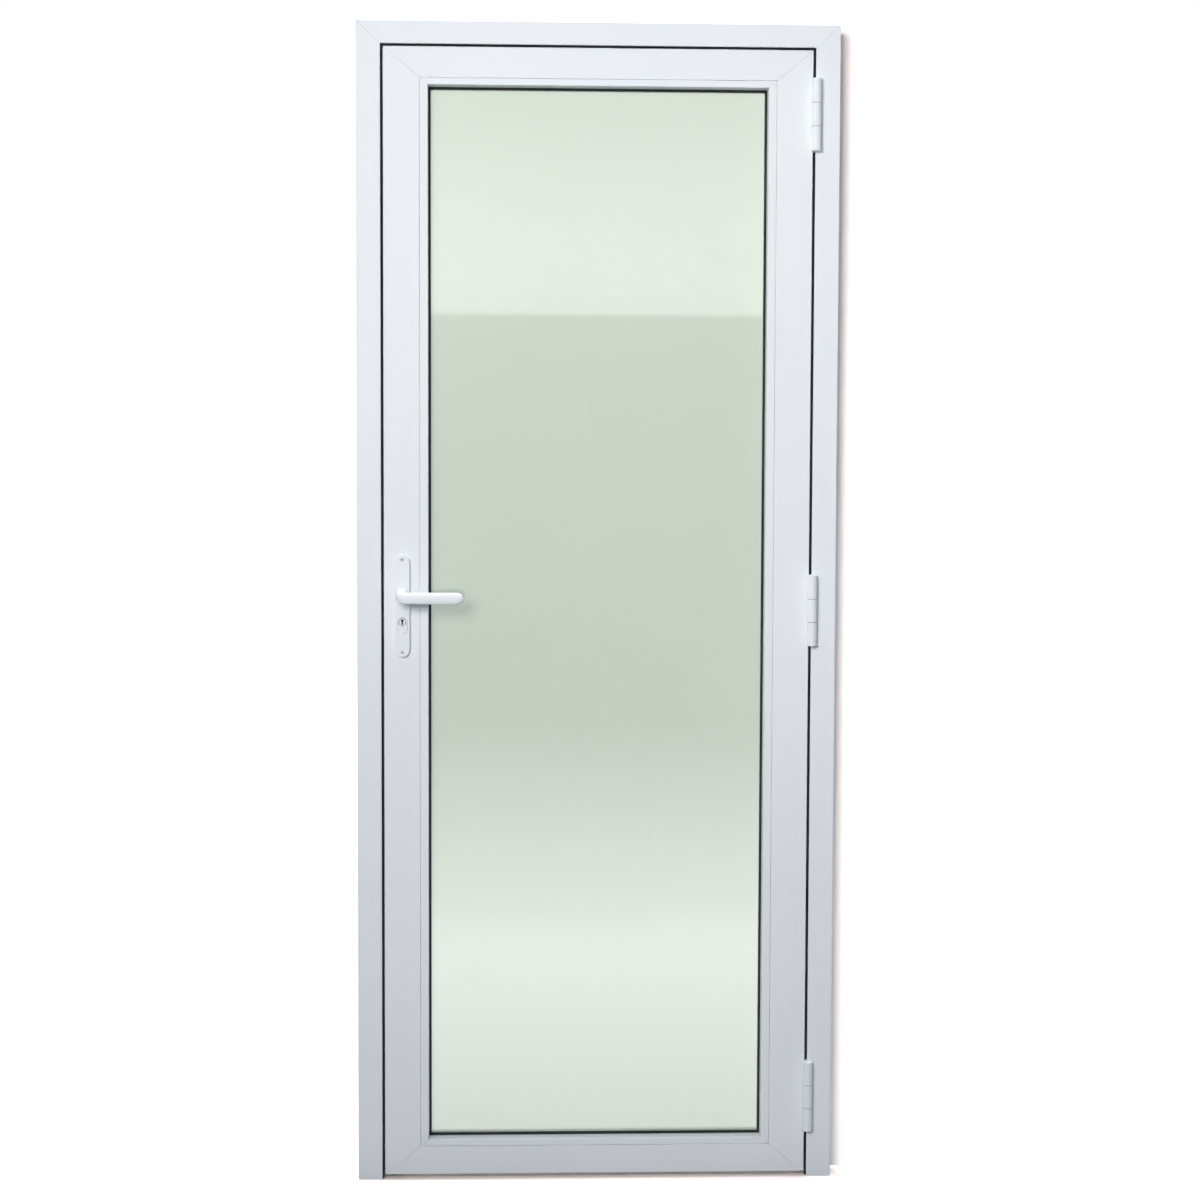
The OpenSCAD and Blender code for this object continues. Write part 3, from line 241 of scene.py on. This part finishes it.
# %% Softboxes
def softbox(name, at, aim, wide, tall, watts, beam=180, tone=(1, 1, 1)):
    lamp = bpy.data.lights.new(name, "AREA")
    lamp.shape = "RECTANGLE"
    lamp.size, lamp.size_y = wide, tall
    lamp.spread = math.radians(beam)
    lamp.energy = watts
    lamp.color = tone
    made = bpy.data.objects.new(name, lamp)
    made.location = at
    made.rotation_euler = (Vector(aim) - Vector(at)).to_track_quat("-Z", "Y").to_euler()
    scene.collection.objects.link(made)
    for ray in ("camera", "glossy", "transmission"):
        setattr(made, "visible_" + ray, False)


softbox("key", at=(-1.1, -3.9, 2.3), aim=(0.5, 0, 1.6), wide=1.6, tall=1.6, watts=41,
        beam=90, tone=(1, 0.975, 0.945))
softbox("front_top", at=(-0.2, -0.45, 3.6), aim=(0, -0.05, 0.4), wide=1.6, tall=0.4, watts=4,
        tone=(1, 0.96, 0.92))
softbox("strip", at=(0, 0.04, 12.0), aim=(0, 0.04, 0), wide=7.2, tall=0.36, watts=800)
softbox("back", at=(-2.3, 3.7, 2.4), aim=(0, 0, 1.2), wide=1.6, tall=1.6, watts=52, beam=100)
softbox("side", at=(4.2, 0.5, 1.6), aim=(0.4, 0, 1.05), wide=1.6, tall=1.6, watts=4, beam=100)

# %% [markdown]
# What the pane shows is mostly what it mirrors: a bright window high up, which ends in a soft
# edge, and a sunlit floor in front of the door. Two cards with a fading glow stand for them, one
# upright and one lying down. Only reflections see them, so they add no light to the room.


# %% Cards that the glass mirrors
FULL_GLOW = 2.5
EVEN_PART = 0.6
WINDOW_Y, WINDOW_LOW, WINDOW_HIGH, WINDOW_HALF = -5, 1.956, 3.3, 3.0
SUN_Z, SUN_NEAR, SUN_FAR, SUN_HALF = 0.001, -0.1, -6.7, 2.5


def glow_card(name, corners, axis, low, high, stops, half):
    card = sheet_mesh(name, corners)
    made, tree = new_material(name + "_glow")
    place = tree.nodes.new("ShaderNodeTexCoord").outputs["Object"]
    split = step(tree, "ShaderNodeSeparateXYZ", {0: place})
    way = step(tree, "ShaderNodeMapRange", {
        "Value": split.outputs[axis], "From Min": low, "From Max": high})
    ramp = step(tree, "ShaderNodeFloatCurve", {"Value": way.outputs["Result"]})
    curve = ramp.mapping.curves[0]
    for at, value in stops[1:-1]:
        curve.points.new(at, value)
    curve.points[0].location = stops[0]
    curve.points[-1].location = stops[-1]
    ramp.mapping.update()
    bright = step(tree, "ShaderNodeMath", {
        0: ramp.outputs["Value"], 1: FULL_GLOW}, operation="MULTIPLY")
    aside = step(tree, "ShaderNodeMath", {0: split.outputs["X"]}, operation="ABSOLUTE")
    edge = soft_range(tree, aside.outputs[0], half, half * EVEN_PART)
    soft = step(tree, "ShaderNodeMix", {
        "Factor": edge, "A": 1.0, "B": bright.outputs[0]}, data_type="FLOAT")
    glow = step(tree, "ShaderNodeEmission", {"Strength": soft.outputs["Result"]})
    step(tree, "ShaderNodeOutputMaterial", {"Surface": glow.outputs[0]})
    card.data.materials.append(made)
    for ray in ("camera", "diffuse", "transmission", "volume_scatter", "shadow"):
        setattr(card, "visible_" + ray, False)
    print(name, "reaches", low, "to", high)


window_corners = [
    (-WINDOW_HALF, WINDOW_Y, WINDOW_LOW), (-WINDOW_HALF, WINDOW_Y, WINDOW_HIGH),
    (WINDOW_HALF, WINDOW_Y, WINDOW_HIGH), (WINDOW_HALF, WINDOW_Y, WINDOW_LOW)]
glow_card("window_card", window_corners, "Z", WINDOW_LOW, WINDOW_HIGH,
          [(0, 0.76), (0.25, 0.75), (0.6, 0.62), (1, 0.44)], WINDOW_HALF)
sun_corners = [
    (-SUN_HALF, SUN_FAR, SUN_Z), (SUN_HALF, SUN_FAR, SUN_Z),
    (SUN_HALF, SUN_NEAR, SUN_Z), (-SUN_HALF, SUN_NEAR, SUN_Z)]
glow_card("sunlit_floor", sun_corners, "Y", SUN_NEAR, SUN_FAR,
          [(0, 0.66), (0.12, 0.84), (0.27, 0.94), (0.37, 0.8), (0.5, 0.69), (0.66, 0.57), (1, 0.4)],
          SUN_HALF)

# %% [markdown]
# Three effects come up in more than one finish, so each is a node group with named inputs:
# the fine orange peel and soft clouding of a sprayed or moulded skin, the long lines that
# drawing or brushing leaves in metal, and painted shade that darkens a deep narrow slot, such as a
# keyway.
# The groups only give out values; the shader of each finish stays in its own material.


# %% Groups for the finishes
def value_group(name, inputs, outputs):
    tree = bpy.data.node_groups.new(name, "ShaderNodeTree")
    for label, kind, start in inputs:
        kind = "NodeSocket" + kind
        socket = tree.interface.new_socket(label, in_out="INPUT", socket_type=kind)
        if start is not None:
            socket.default_value = start
    for label, kind in outputs:
        tree.interface.new_socket(label, in_out="OUTPUT", socket_type="NodeSocket" + kind)
    return tree, tree.nodes.new("NodeGroupInput"), tree.nodes.new("NodeGroupOutput")


def noise(tree, place, size, detail=2.0):
    made = tree.nodes.new("ShaderNodeTexNoise")
    made.inputs["Detail"].default_value = detail
    link(tree, place, made.inputs["Vector"])
    link(tree, size, made.inputs["Scale"])
    return made.outputs["Fac"]


skin_group, a, z = value_group("skin", [
    ("Place", "Vector", None),
    ("Peel per metre", "Float", 700.0),
    ("Cloud per metre", "Float", 3.0),
], [("Peel", "Float"), ("Cloud", "Float")])
place = a.outputs["Place"]
peel = noise(skin_group, place, a.outputs["Peel per metre"])
cloud = noise(skin_group, place, a.outputs["Cloud per metre"], detail=4.0)
link(skin_group, peel, z.inputs["Peel"])
link(skin_group, cloud, z.inputs["Cloud"])

lines_group, a, z = value_group("drawn_lines", [
    ("Place", "Vector", None),
    ("Stretch", "Vector", (1.0, 1.0, 0.01)),
    ("Lines per metre", "Float", 1500.0),
], [("Line", "Float")])
pull = step(lines_group, "ShaderNodeVectorMath", {
    0: a.outputs["Place"], 1: a.outputs["Stretch"]}, operation="MULTIPLY")
drawn = noise(lines_group, pull.outputs[0], a.outputs["Lines per metre"], detail=3.0)
link(lines_group, drawn, z.inputs["Line"])

# Painted shade: this group mixes a colour towards near black as its Depth goes from 0 to 1,
# standing in for the shade inside a deep narrow slot.
SLOT_SHADE_COLOUR = (0.006, 0.006, 0.007, 1)
slot_shade_group, a, z = value_group("painted_slot_shade", [
    ("Colour", "Color", None),
    ("Depth", "Float", 0.0),
], [("Colour", "Color")])
fall = soft_range(slot_shade_group, a.outputs["Depth"], 0.0, 1.0)
dark = step(slot_shade_group, "ShaderNodeMix", {
    "Factor": fall, "A": a.outputs["Colour"], "B": SLOT_SHADE_COLOUR}, data_type="RGBA")
link(slot_shade_group, dark.outputs["Result"], z.inputs["Colour"])
print("groups:", [g.name for g in bpy.data.node_groups])


# %% Common parts of a finish
NOISE_LOW, NOISE_HIGH = 0.3, 0.7


def place_group(tree, group, **values):
    made = tree.nodes.new("ShaderNodeGroup")
    made.node_tree = group
    for label, value in values.items():
        made.inputs[label.replace("_", " ")].default_value = value
    return made


def spread(tree, value, low, high):
    made = step(tree, "ShaderNodeMapRange", {
        "Value": value, "From Min": NOISE_LOW, "From Max": NOISE_HIGH,
        "To Min": low, "To Max": high})
    return made.outputs["Result"]


def blend_colour(tree, value, low, high):
    made = step(tree, "ShaderNodeMix", {
        "Factor": spread(tree, value, 0.0, 1.0), "A": (*low, 1), "B": (*high, 1),
    }, data_type="RGBA")
    return made.outputs["Result"]


def bumped(tree, height, shader, strength, depth):
    bump = step(tree, "ShaderNodeBump", {
        "Strength": strength, "Distance": depth, "Height": height})
    link(tree, bump.outputs["Normal"], shader.inputs["Normal"])


def finish_start(name):
    made, tree = new_material(name)
    place = tree.nodes.new("ShaderNodeTexCoord").outputs["Object"]
    shader = tree.nodes.new("ShaderNodeBsdfPrincipled")
    step(tree, "ShaderNodeOutputMaterial", {"Surface": shader.outputs[0]})
    return made, tree, place, shader


print("finishes read noise from", NOISE_LOW, "to", NOISE_HIGH)

# %% [markdown]
# Powder coat is a baked plastic skin on the aluminium: satin, very slightly cool white, with an
# orange peel about a millimetre across that only shows in the highlights. A flat white would
# look like paper, so the peel goes to the bump, and a slow clouding to colour and gloss.


# %% Skins: powder coat, rubber and nylon
PEEL_DEEP, SATIN_GLOSS = 0.0002, 0.2


def skin_finish(name, low, high, rough, peel, cloud, strength):
    made, tree, place, shader = finish_start(name)
    skin = place_group(tree, skin_group, Peel_per_metre=peel, Cloud_per_metre=cloud)
    shader.inputs["Specular IOR Level"].default_value = SATIN_GLOSS
    link(tree, place, skin.inputs["Place"])
    link(tree, blend_colour(tree, skin.outputs["Cloud"], low, high), shader.inputs["Base Color"])
    link(tree, spread(tree, skin.outputs["Cloud"], *rough), shader.inputs["Roughness"])
    bumped(tree, skin.outputs["Peel"], shader, strength, PEEL_DEEP)
    return made


finishes = {
    "white_coat": skin_finish(
        "white_coat", low=(0.77, 0.805, 0.845), high=(0.80, 0.83, 0.865),
        rough=(0.34, 0.42), peel=900.0, cloud=3.0, strength=0.12),
    "black_rubber": skin_finish(
        "black_rubber", low=(0.012, 0.013, 0.015), high=(0.03, 0.032, 0.035),
        rough=(0.5, 0.68), peel=2200.0, cloud=14.0, strength=0.3),
    "dark_nylon": skin_finish(
        "dark_nylon", low=(0.05, 0.055, 0.06), high=(0.075, 0.08, 0.085),
        rough=(0.42, 0.55), peel=1600.0, cloud=30.0, strength=0.2),
}
print("skins:", list(finishes))

# %% [markdown]
# The bare metals are drawn aluminium, ground steel and the nickel plate of the key cylinder.
# Their colour hardly varies, and what the eye reads is the direction of the fine lines. Noise
# Noise that is stretched along the working direction gives those lines to the gloss and the bump.
# On the steel screws and the nickel cylinder, painted shade darkens the cross recesses, the keyway
# and the gap round the plug.


# %% Metals
LINE_DEEP = 0.0001
# These place the painted shade on the cylinder: a thin dark ring for the running gap round the
# plug, and a darkening into the keyway.
PLUG_FACE_R, PLUG_GAP_R, PLUG_GAP_HALF = 0.0057, 0.0062, 0.0003
KEYWAY_FROM, KEYWAY_TO = 0.0002, 0.002


# Painted shade in the screws' cross recesses: the stored depth of each recess point darkens its
# colour.
def recess_shade(tree, place):
    return step(tree, "ShaderNodeAttribute", {}, attribute_name="sunk").outputs["Fac"]


# Painted shade: nickel inside the plug's radius darkens with depth behind its face, for the keyway,
# and a thin ring at the plug's edge is painted dark, for the running gap.
def keyway_and_gap_shade(tree, place):
    low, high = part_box("inside_plug")
    middle = ((low.x + high.x) / 2, 0, (low.z + high.z) / 2)
    from_axis = step(tree, "ShaderNodeVectorMath", {0: place, 1: middle}, operation="SUBTRACT")
    flat = step(tree, "ShaderNodeVectorMath", {
        0: from_axis.outputs[0], 1: (1, 0, 1)}, operation="MULTIPLY")
    reach = step(tree, "ShaderNodeVectorMath", {0: flat.outputs[0]}, operation="LENGTH")
    radius = reach.outputs["Value"]
    inside = step(tree, "ShaderNodeMath", {0: radius, 1: PLUG_FACE_R}, operation="LESS_THAN")
    split = step(tree, "ShaderNodeSeparateXYZ", {0: place})
    out = step(tree, "ShaderNodeMath", {0: split.outputs["Y"]}, operation="ABSOLUTE")
    deep = step(tree, "ShaderNodeMapRange", {
        "Value": out.outputs[0], "From Min": -low.y - KEYWAY_FROM, "From Max": -low.y - KEYWAY_TO})
    keyway = step(tree, "ShaderNodeMath", {
        0: inside.outputs[0], 1: deep.outputs["Result"]}, operation="MULTIPLY")
    ring = step(tree, "ShaderNodeMath", {
        0: radius, 1: PLUG_GAP_R, 2: PLUG_GAP_HALF}, operation="COMPARE")
    return either(tree, keyway.outputs[0], ring.outputs[0])


def metal_finish(name, low, high, rough, stretch, strength, depth=None):
    made, tree, place, shader = finish_start(name)
    shader.inputs["Metallic"].default_value = 1.0
    lines = place_group(tree, lines_group, Stretch=stretch)
    link(tree, place, lines.inputs["Place"])
    colour = blend_colour(tree, lines.outputs["Line"], low, high)
    # A depth measure, where given, mixes the colour towards black: painted shade in slots, recesses
    # and gaps.
    if depth:
        slot = step(tree, "ShaderNodeGroup", {}, node_tree=slot_shade_group)
        link(tree, colour, slot.inputs["Colour"])
        link(tree, depth(tree, place), slot.inputs["Depth"])
        colour = slot.outputs["Colour"]
    link(tree, colour, shader.inputs["Base Color"])
    link(tree, spread(tree, lines.outputs["Line"], *rough), shader.inputs["Roughness"])
    bumped(tree, lines.outputs["Line"], shader, strength, LINE_DEEP)
    return made


UPRIGHT_LINES, CROSS_LINES = (1.0, 1.0, 0.02), (0.02, 1.0, 1.0)
finishes["mill_aluminium"] = metal_finish(
    "mill_aluminium", low=(0.58, 0.59, 0.60), high=(0.68, 0.69, 0.70),
    rough=(0.36, 0.50), stretch=UPRIGHT_LINES, strength=0.25)
finishes["bright_steel"] = metal_finish(
    "bright_steel", low=(0.56, 0.57, 0.585), high=(0.66, 0.67, 0.685),
    rough=(0.24, 0.36), stretch=UPRIGHT_LINES, strength=0.15, depth=recess_shade)
finishes["nickel_brass"] = metal_finish(
    "nickel_brass", low=(0.60, 0.62, 0.645), high=(0.67, 0.69, 0.71),
    rough=(0.2, 0.3), stretch=CROSS_LINES, strength=0.1, depth=keyway_and_gap_shade)
print("skins and metals:", list(finishes))

# %% [markdown]
# The pane is 6 mm of greenish satin sun glass. It lets part of the light through, sends part back
# from its milky body, and mirrors the bright cards on its polished outside. A clear glass would
# lose the soft shade that the beads cast on it, so the transmission stays at about one half.

# %% Glass
made, tree, place, shader = finish_start("green_glass")
shader.inputs["Transmission Weight"].default_value = 0.45
shader.inputs["IOR"].default_value = 1.52
shader.inputs["Coat Weight"].default_value = 1.0
shader.inputs["Coat IOR"].default_value = 2.4
shader.inputs["Coat Roughness"].default_value = 0.03
skin = place_group(tree, skin_group, Peel_per_metre=9.0, Cloud_per_metre=1.4)
link(tree, place, skin.inputs["Place"])
tint = blend_colour(tree, skin.outputs["Cloud"], (0.595, 0.70, 0.565), (0.62, 0.72, 0.59))
link(tree, tint, shader.inputs["Base Color"])
link(tree, spread(tree, skin.outputs["Cloud"], 0.16, 0.2), shader.inputs["Roughness"])
bumped(tree, skin.outputs["Peel"], shader, strength=0.04, depth=0.002)
finishes["green_glass"] = made
print("finishes:", len(finishes))

# %% Finishes on the CAD nodes
for name, piece in nodes.items():
    finish = finishes[slot_of[name]]
    if not piece.material_slots:
        piece.data.materials.append(finish)
    for slot in piece.material_slots:
        slot.material = finish
print("dressed nodes:", len(nodes))

# %% [markdown]
# Each lever is an aluminium casting that flows from a round neck into an oval grip. The CAD skin
# is a net of small flat faces. A finer net would do, but the eye only asks for soft shading, so
# a merged copy of the net gets smooth normals, and stays sharp only at the neck's machined rim.


# %% Smooth levers
MERGE_WITHIN = 2e-6
SHARP_OVER = math.radians(38)


def smooth_copy(node, name):
    net = bmesh.new()
    net.from_mesh(nodes[node].data)
    bmesh.ops.remove_doubles(net, verts=net.verts, dist=MERGE_WITHIN)
    net.verts.index_update()
    mesh = bpy.data.meshes.new(name)
    faces = [[v.index for v in f.verts] for f in net.faces]
    mesh.from_pydata([v.co for v in net.verts], [], faces)
    net.free()
    mesh.shade_smooth()
    mesh.set_sharp_from_angle(angle=SHARP_OVER)
    made = bpy.data.objects.new(name, mesh)
    scene.collection.objects.link(made)
    return made


for node in ("inside_lever", "outside_lever"):
    lever = smooth_copy(node, node + "_casting")
    lever.data.materials.append(finishes["white_coat"])
    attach(lever, "handle_set")
    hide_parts(node)
    print(lever.name, len(lever.data.polygons), "faces")

# %% [markdown]
# The latch spring sits between the latch's hook and the back of the lock case. When the handle
# draws the latch in, the real coil closes up. Riding on the leaf, it would stay long and cut into
# the hook, and riding on the latch it would go through the case. Here a smooth copy rides on the
# leaf, at its full length.

# %% Latch spring, a smooth copy on the leaf
low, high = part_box("latch_spring")
coil = smooth_copy("latch_spring", "latch_spring_coil")
coil.data.materials.append(finishes[slot_of["latch_spring"]])
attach(coil, "leaf")
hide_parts("latch_spring")
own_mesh(coil)

# %% [markdown]
# The dark line round the leaf is a rubber lip in the rebate. It is one extruded section, pushed
# onto the side of the frame in front of the hardware groove. A curve with a bevel profile could
# draw it, but here each run joins two copies of the section (in millimetres), so that its ends
# can be mitred at the top corners and cut square at the hinge wings. The lip stops short of the
# leaf, so that the leaf's back edge, which swings out past its own gap, doesn't catch it.

# %% Rebate lip seal
LIP = [(0.02, -19.0), (0.7, -19.2), (1.0, -18.2), (3.2, -16.4),
       (3.2, -15.8), (1.1, -16.2), (0.7, -13.0), (0.02, -13.0)]
LEAF_GAP, SEAL_END = 0.005, 0.001
HINGES = ("low", "mid", "top")


def seal_run(net, start, finish, out, mitres):
    along = (finish - start).normalized()
    rings = []
    for end, way in ((start, mitres[0]), (finish, -mitres[1])):
        places = [end + (out + along * way) * (u / 1000) + Vector((0, y / 1000, 0)) for u, y in LIP]
        rings.append([net.verts.new(place) for place in places])
    for k in range(len(LIP)):
        n = (k + 1) % len(LIP)
        net.faces.new((rings[0][k], rings[0][n], rings[1][n], rings[1][k]))
    net.faces.new(rings[0])
    net.faces.new(rings[1])


wall_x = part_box("leaf_hinge_stile")[1].x + LEAF_GAP
wall_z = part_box("leaf_top_rail")[1].z + LEAF_GAP
wings = [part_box("hinge_%s_frame_wing" % hinge) for hinge in HINGES]
stops = [SEAL_END]
for low, high in wings:
    stops += [low.z - SEAL_END, high.z + SEAL_END]
stops.append(wall_z)
foot, left, right = (Vector(at) for at in (
    (-wall_x, 0, SEAL_END), (-wall_x, 0, wall_z), (wall_x, 0, wall_z)))
net = bmesh.new()
seal_run(net, foot, left, Vector((1, 0, 0)), (0, 1))
seal_run(net, left, right, Vector((0, 0, -1)), (1, 1))
for k in range(0, len(stops), 2):
    start, finish = (Vector((wall_x, 0, z)) for z in stops[k:k + 2])
    seal_run(net, start, finish, Vector((-1, 0, 0)), (0, int(k == len(stops) - 2)))
bmesh.ops.recalc_face_normals(net, faces=net.faces)
mesh = bpy.data.meshes.new("rebate_lip_seal")
net.to_mesh(mesh)
net.free()
seal = bpy.data.objects.new("rebate_lip_seal", mesh)
scene.collection.objects.link(seal)
mesh.materials.append(finishes["black_rubber"])
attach(seal, "frame")
print(seal.name, len(stops) // 2 + 2, "runs,", len(mesh.polygons), "faces")

# %% [markdown]
# Cross-head countersunk screws hold the hinge wings, the strike, the lock and the handle plates.
# They are all the same turned shape in a few sizes, so one Geometry Nodes tree makes them: a cone
# with a cross cut into its face, a ridged shank, and a copy at each point of a small point mesh.
# Screws stop at any angle when they are tight, so each copy is turned by a seeded random amount.

# %% A tree that sets screws
CROSS_WIDE, CROSS_LONG, CROSS_DEEP = 0.0009, 1.1, 0.7
RIDGE_CUT, SHARP_EDGE = 0.15, 0.6
screw_tree = bpy.data.node_groups.new("countersunk_screws", "GeometryNodeTree")
for label, kind in (
        ("Heads", "Geometry"), ("Way", "Vector"), ("Head radius", "Float"),
        ("Shank radius", "Float"), ("Length", "Float"), ("Ridge step", "Float"),
        ("Seed", "Int"), ("Finish", "Material")):
    screw_tree.interface.new_socket(label, in_out="INPUT", socket_type="NodeSocket" + kind)
screw_tree.interface.new_socket("Screws", in_out="OUTPUT", socket_type="NodeSocketGeometry")
given = screw_tree.nodes.new("NodeGroupInput").outputs


def calc(operation, a, b):
    return step(screw_tree, "ShaderNodeMath", {0: a, 1: b}, operation=operation).outputs[0]


def vector(x, y, z):
    return step(screw_tree, "ShaderNodeCombineXYZ", {"X": x, "Y": y, "Z": z}).outputs[0]


cone_deep = calc("SUBTRACT", given["Head radius"], given["Shank radius"])
cone = step(screw_tree, "GeometryNodeMeshCone", {
    "Vertices": 32, "Radius Top": given["Shank radius"],
    "Radius Bottom": given["Head radius"], "Depth": cone_deep})
arm = calc("MULTIPLY", given["Head radius"], CROSS_LONG)
cut = calc("MULTIPLY", given["Head radius"], CROSS_DEEP)
head = step(screw_tree, "GeometryNodeMeshBoolean", {
    "Mesh 1": cone.outputs["Mesh"]}, operation="DIFFERENCE")
for size in ((arm, CROSS_WIDE, cut), (CROSS_WIDE, arm, cut)):
    bar = step(screw_tree, "GeometryNodeMeshCube", {"Size": vector(*size)})
    link(screw_tree, bar.outputs["Mesh"], head.inputs["Mesh 2"])
position = screw_tree.nodes.new("GeometryNodeInputPosition").outputs[0]
height = step(screw_tree, "ShaderNodeSeparateXYZ", {0: position})
depth = calc("DIVIDE", height.outputs["Z"], calc("MULTIPLY", cut, 0.5))
sunk = step(screw_tree, "GeometryNodeStoreNamedAttribute", {
    "Geometry": head.outputs["Mesh"], "Name": "sunk", "Value": depth})
print("screw head:", len(screw_tree.nodes), "nodes")

# %% The shank, the copies and the finish
line = step(screw_tree, "GeometryNodeCurvePrimitiveLine", {
    "Start": vector(0, 0, cone_deep), "End": vector(0, 0, given["Length"])})
rings = step(screw_tree, "GeometryNodeResampleCurve", {
    "Curve": line.outputs[0], "Count": calc("DIVIDE", given["Length"], given["Ridge step"])})
odd = calc("MODULO", screw_tree.nodes.new("GeometryNodeInputIndex").outputs[0], 2)
slim = calc("SUBTRACT", 1.0, calc("MULTIPLY", odd, RIDGE_CUT))
ridge = calc("MULTIPLY", given["Shank radius"], slim)
circle = step(screw_tree, "GeometryNodeCurvePrimitiveCircle", {"Resolution": 20, "Radius": 1.0})
shank = step(screw_tree, "GeometryNodeCurveToMesh", {
    "Curve": rings.outputs[0], "Scale": ridge, "Fill Caps": True,
    "Profile Curve": circle.outputs[0]})
whole = step(screw_tree, "GeometryNodeJoinGeometry", {})
for piece in (sunk, shank):
    link(screw_tree, piece.outputs[0], whole.inputs[0])
fold = screw_tree.nodes.new("GeometryNodeInputMeshEdgeAngle").outputs[0]
corner = calc("GREATER_THAN", fold, SHARP_EDGE)
crisp = step(screw_tree, "GeometryNodeSetShadeSmooth", {
    "Geometry": whole.outputs[0], "Selection": corner, "Shade Smooth": False}, domain="EDGE")
toward = step(
    screw_tree, "FunctionNodeAlignRotationToVector", {"Vector": given["Way"]}, axis="Z")
copies = step(screw_tree, "GeometryNodeInstanceOnPoints", {
    "Points": given["Heads"], "Instance": crisp.outputs[0], "Rotation": toward.outputs[0]})
angle = step(screw_tree, "FunctionNodeRandomValue", {"Seed": given["Seed"]}, data_type="FLOAT")
angle.inputs[3].default_value = math.radians(90)
spun = step(screw_tree, "GeometryNodeRotateInstances", {
    "Instances": copies.outputs[0], "Rotation": vector(0, 0, angle.outputs[1])})
solid = step(screw_tree, "GeometryNodeRealizeInstances", {"Geometry": spun.outputs[0]})
dressed = step(screw_tree, "GeometryNodeSetMaterial", {
    "Geometry": solid.outputs[0], "Material": given["Finish"]})
link(screw_tree, dressed.outputs[0], screw_tree.nodes.new("NodeGroupOutput").inputs[0])
print("screw tree:", len(screw_tree.nodes), "nodes")


# %% Screws at each fitting
WING_PITCH, PLATE_END, RIDGE_STEP = 0.044, 0.01, 0.0008
HINGE_SCREW = {"head_r": 0.004, "shank_r": 0.0024, "length": 0.0095}
STRIKE_SCREW = {"head_r": 0.0034, "shank_r": 0.002, "length": 0.0095}
FOREND_SCREW = {"head_r": 0.0034, "shank_r": 0.002, "length": 0.0085}
PLATE_SCREW_HEAD, PLATE_SCREW_SHANK = 0.0039, 0.0024


def set_screws(node, body, heads, way, seed, head_r, shank_r, length):
    points = bpy.data.meshes.new(node + "_points")
    points.from_pydata(heads, [], [])
    holder = bpy.data.objects.new(node + "_set", points)
    scene.collection.objects.link(holder)
    maker = holder.modifiers.new("screws", "NODES")
    maker.node_group = screw_tree
    values = {"Way": way, "Head radius": head_r, "Shank radius": shank_r, "Length": length,
              "Ridge step": RIDGE_STEP, "Seed": seed, "Finish": finishes["bright_steel"]}
    for socket in screw_tree.interface.items_tree:
        if socket.name in values:
            maker[socket.identifier] = values[socket.name]
    graph = bpy.context.evaluated_depsgraph_get()
    made = bpy.data.meshes.new_from_object(holder.evaluated_get(graph))
    holder.modifiers.clear()
    holder.data = made
    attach(holder, body)
    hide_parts(node)
    print(holder.name, len(heads), "screws,", len(made.polygons), "faces")


hinge_rows = [(low.z + high.z) / 2 + k * WING_PITCH for low, high in wings for k in (-1, 0, 1)]
jamb_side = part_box("hinge_frame_screws")[0].x
leaf_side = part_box("hinge_leaf_screws")[1].x
set_screws("hinge_frame_screws", "frame", [(jamb_side, 0, z) for z in hinge_rows],
           (1, 0, 0), seed=3, **HINGE_SCREW)
set_screws("hinge_leaf_screws", "leaf", [(leaf_side, 0, z) for z in hinge_rows],
           (-1, 0, 0), seed=5, **HINGE_SCREW)
low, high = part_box("strike_plate")
strike_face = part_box("strike_screws")[1].x
rows = (low.z + PLATE_END, high.z - PLATE_END)
set_screws("strike_screws", "frame", [(strike_face, 0, z) for z in rows],
           (-1, 0, 0), seed=7, **STRIKE_SCREW)
low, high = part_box("lock_forend")
rows = (low.z + PLATE_END, high.z - PLATE_END)
set_screws("forend_screws", "leaf", [(low.x, 0, z) for z in rows],
           (1, 0, 0), seed=9, **FOREND_SCREW)
low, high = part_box("plate_screws")
middle = (low.x + high.x) / 2
rows = (low.z + PLATE_SCREW_HEAD, high.z - PLATE_SCREW_HEAD)
set_screws("plate_screws", "leaf", [(middle, low.y, z) for z in rows],
           (0, 1, 0), seed=11, head_r=PLATE_SCREW_HEAD, shank_r=PLATE_SCREW_SHANK,
           length=high.y - low.y)
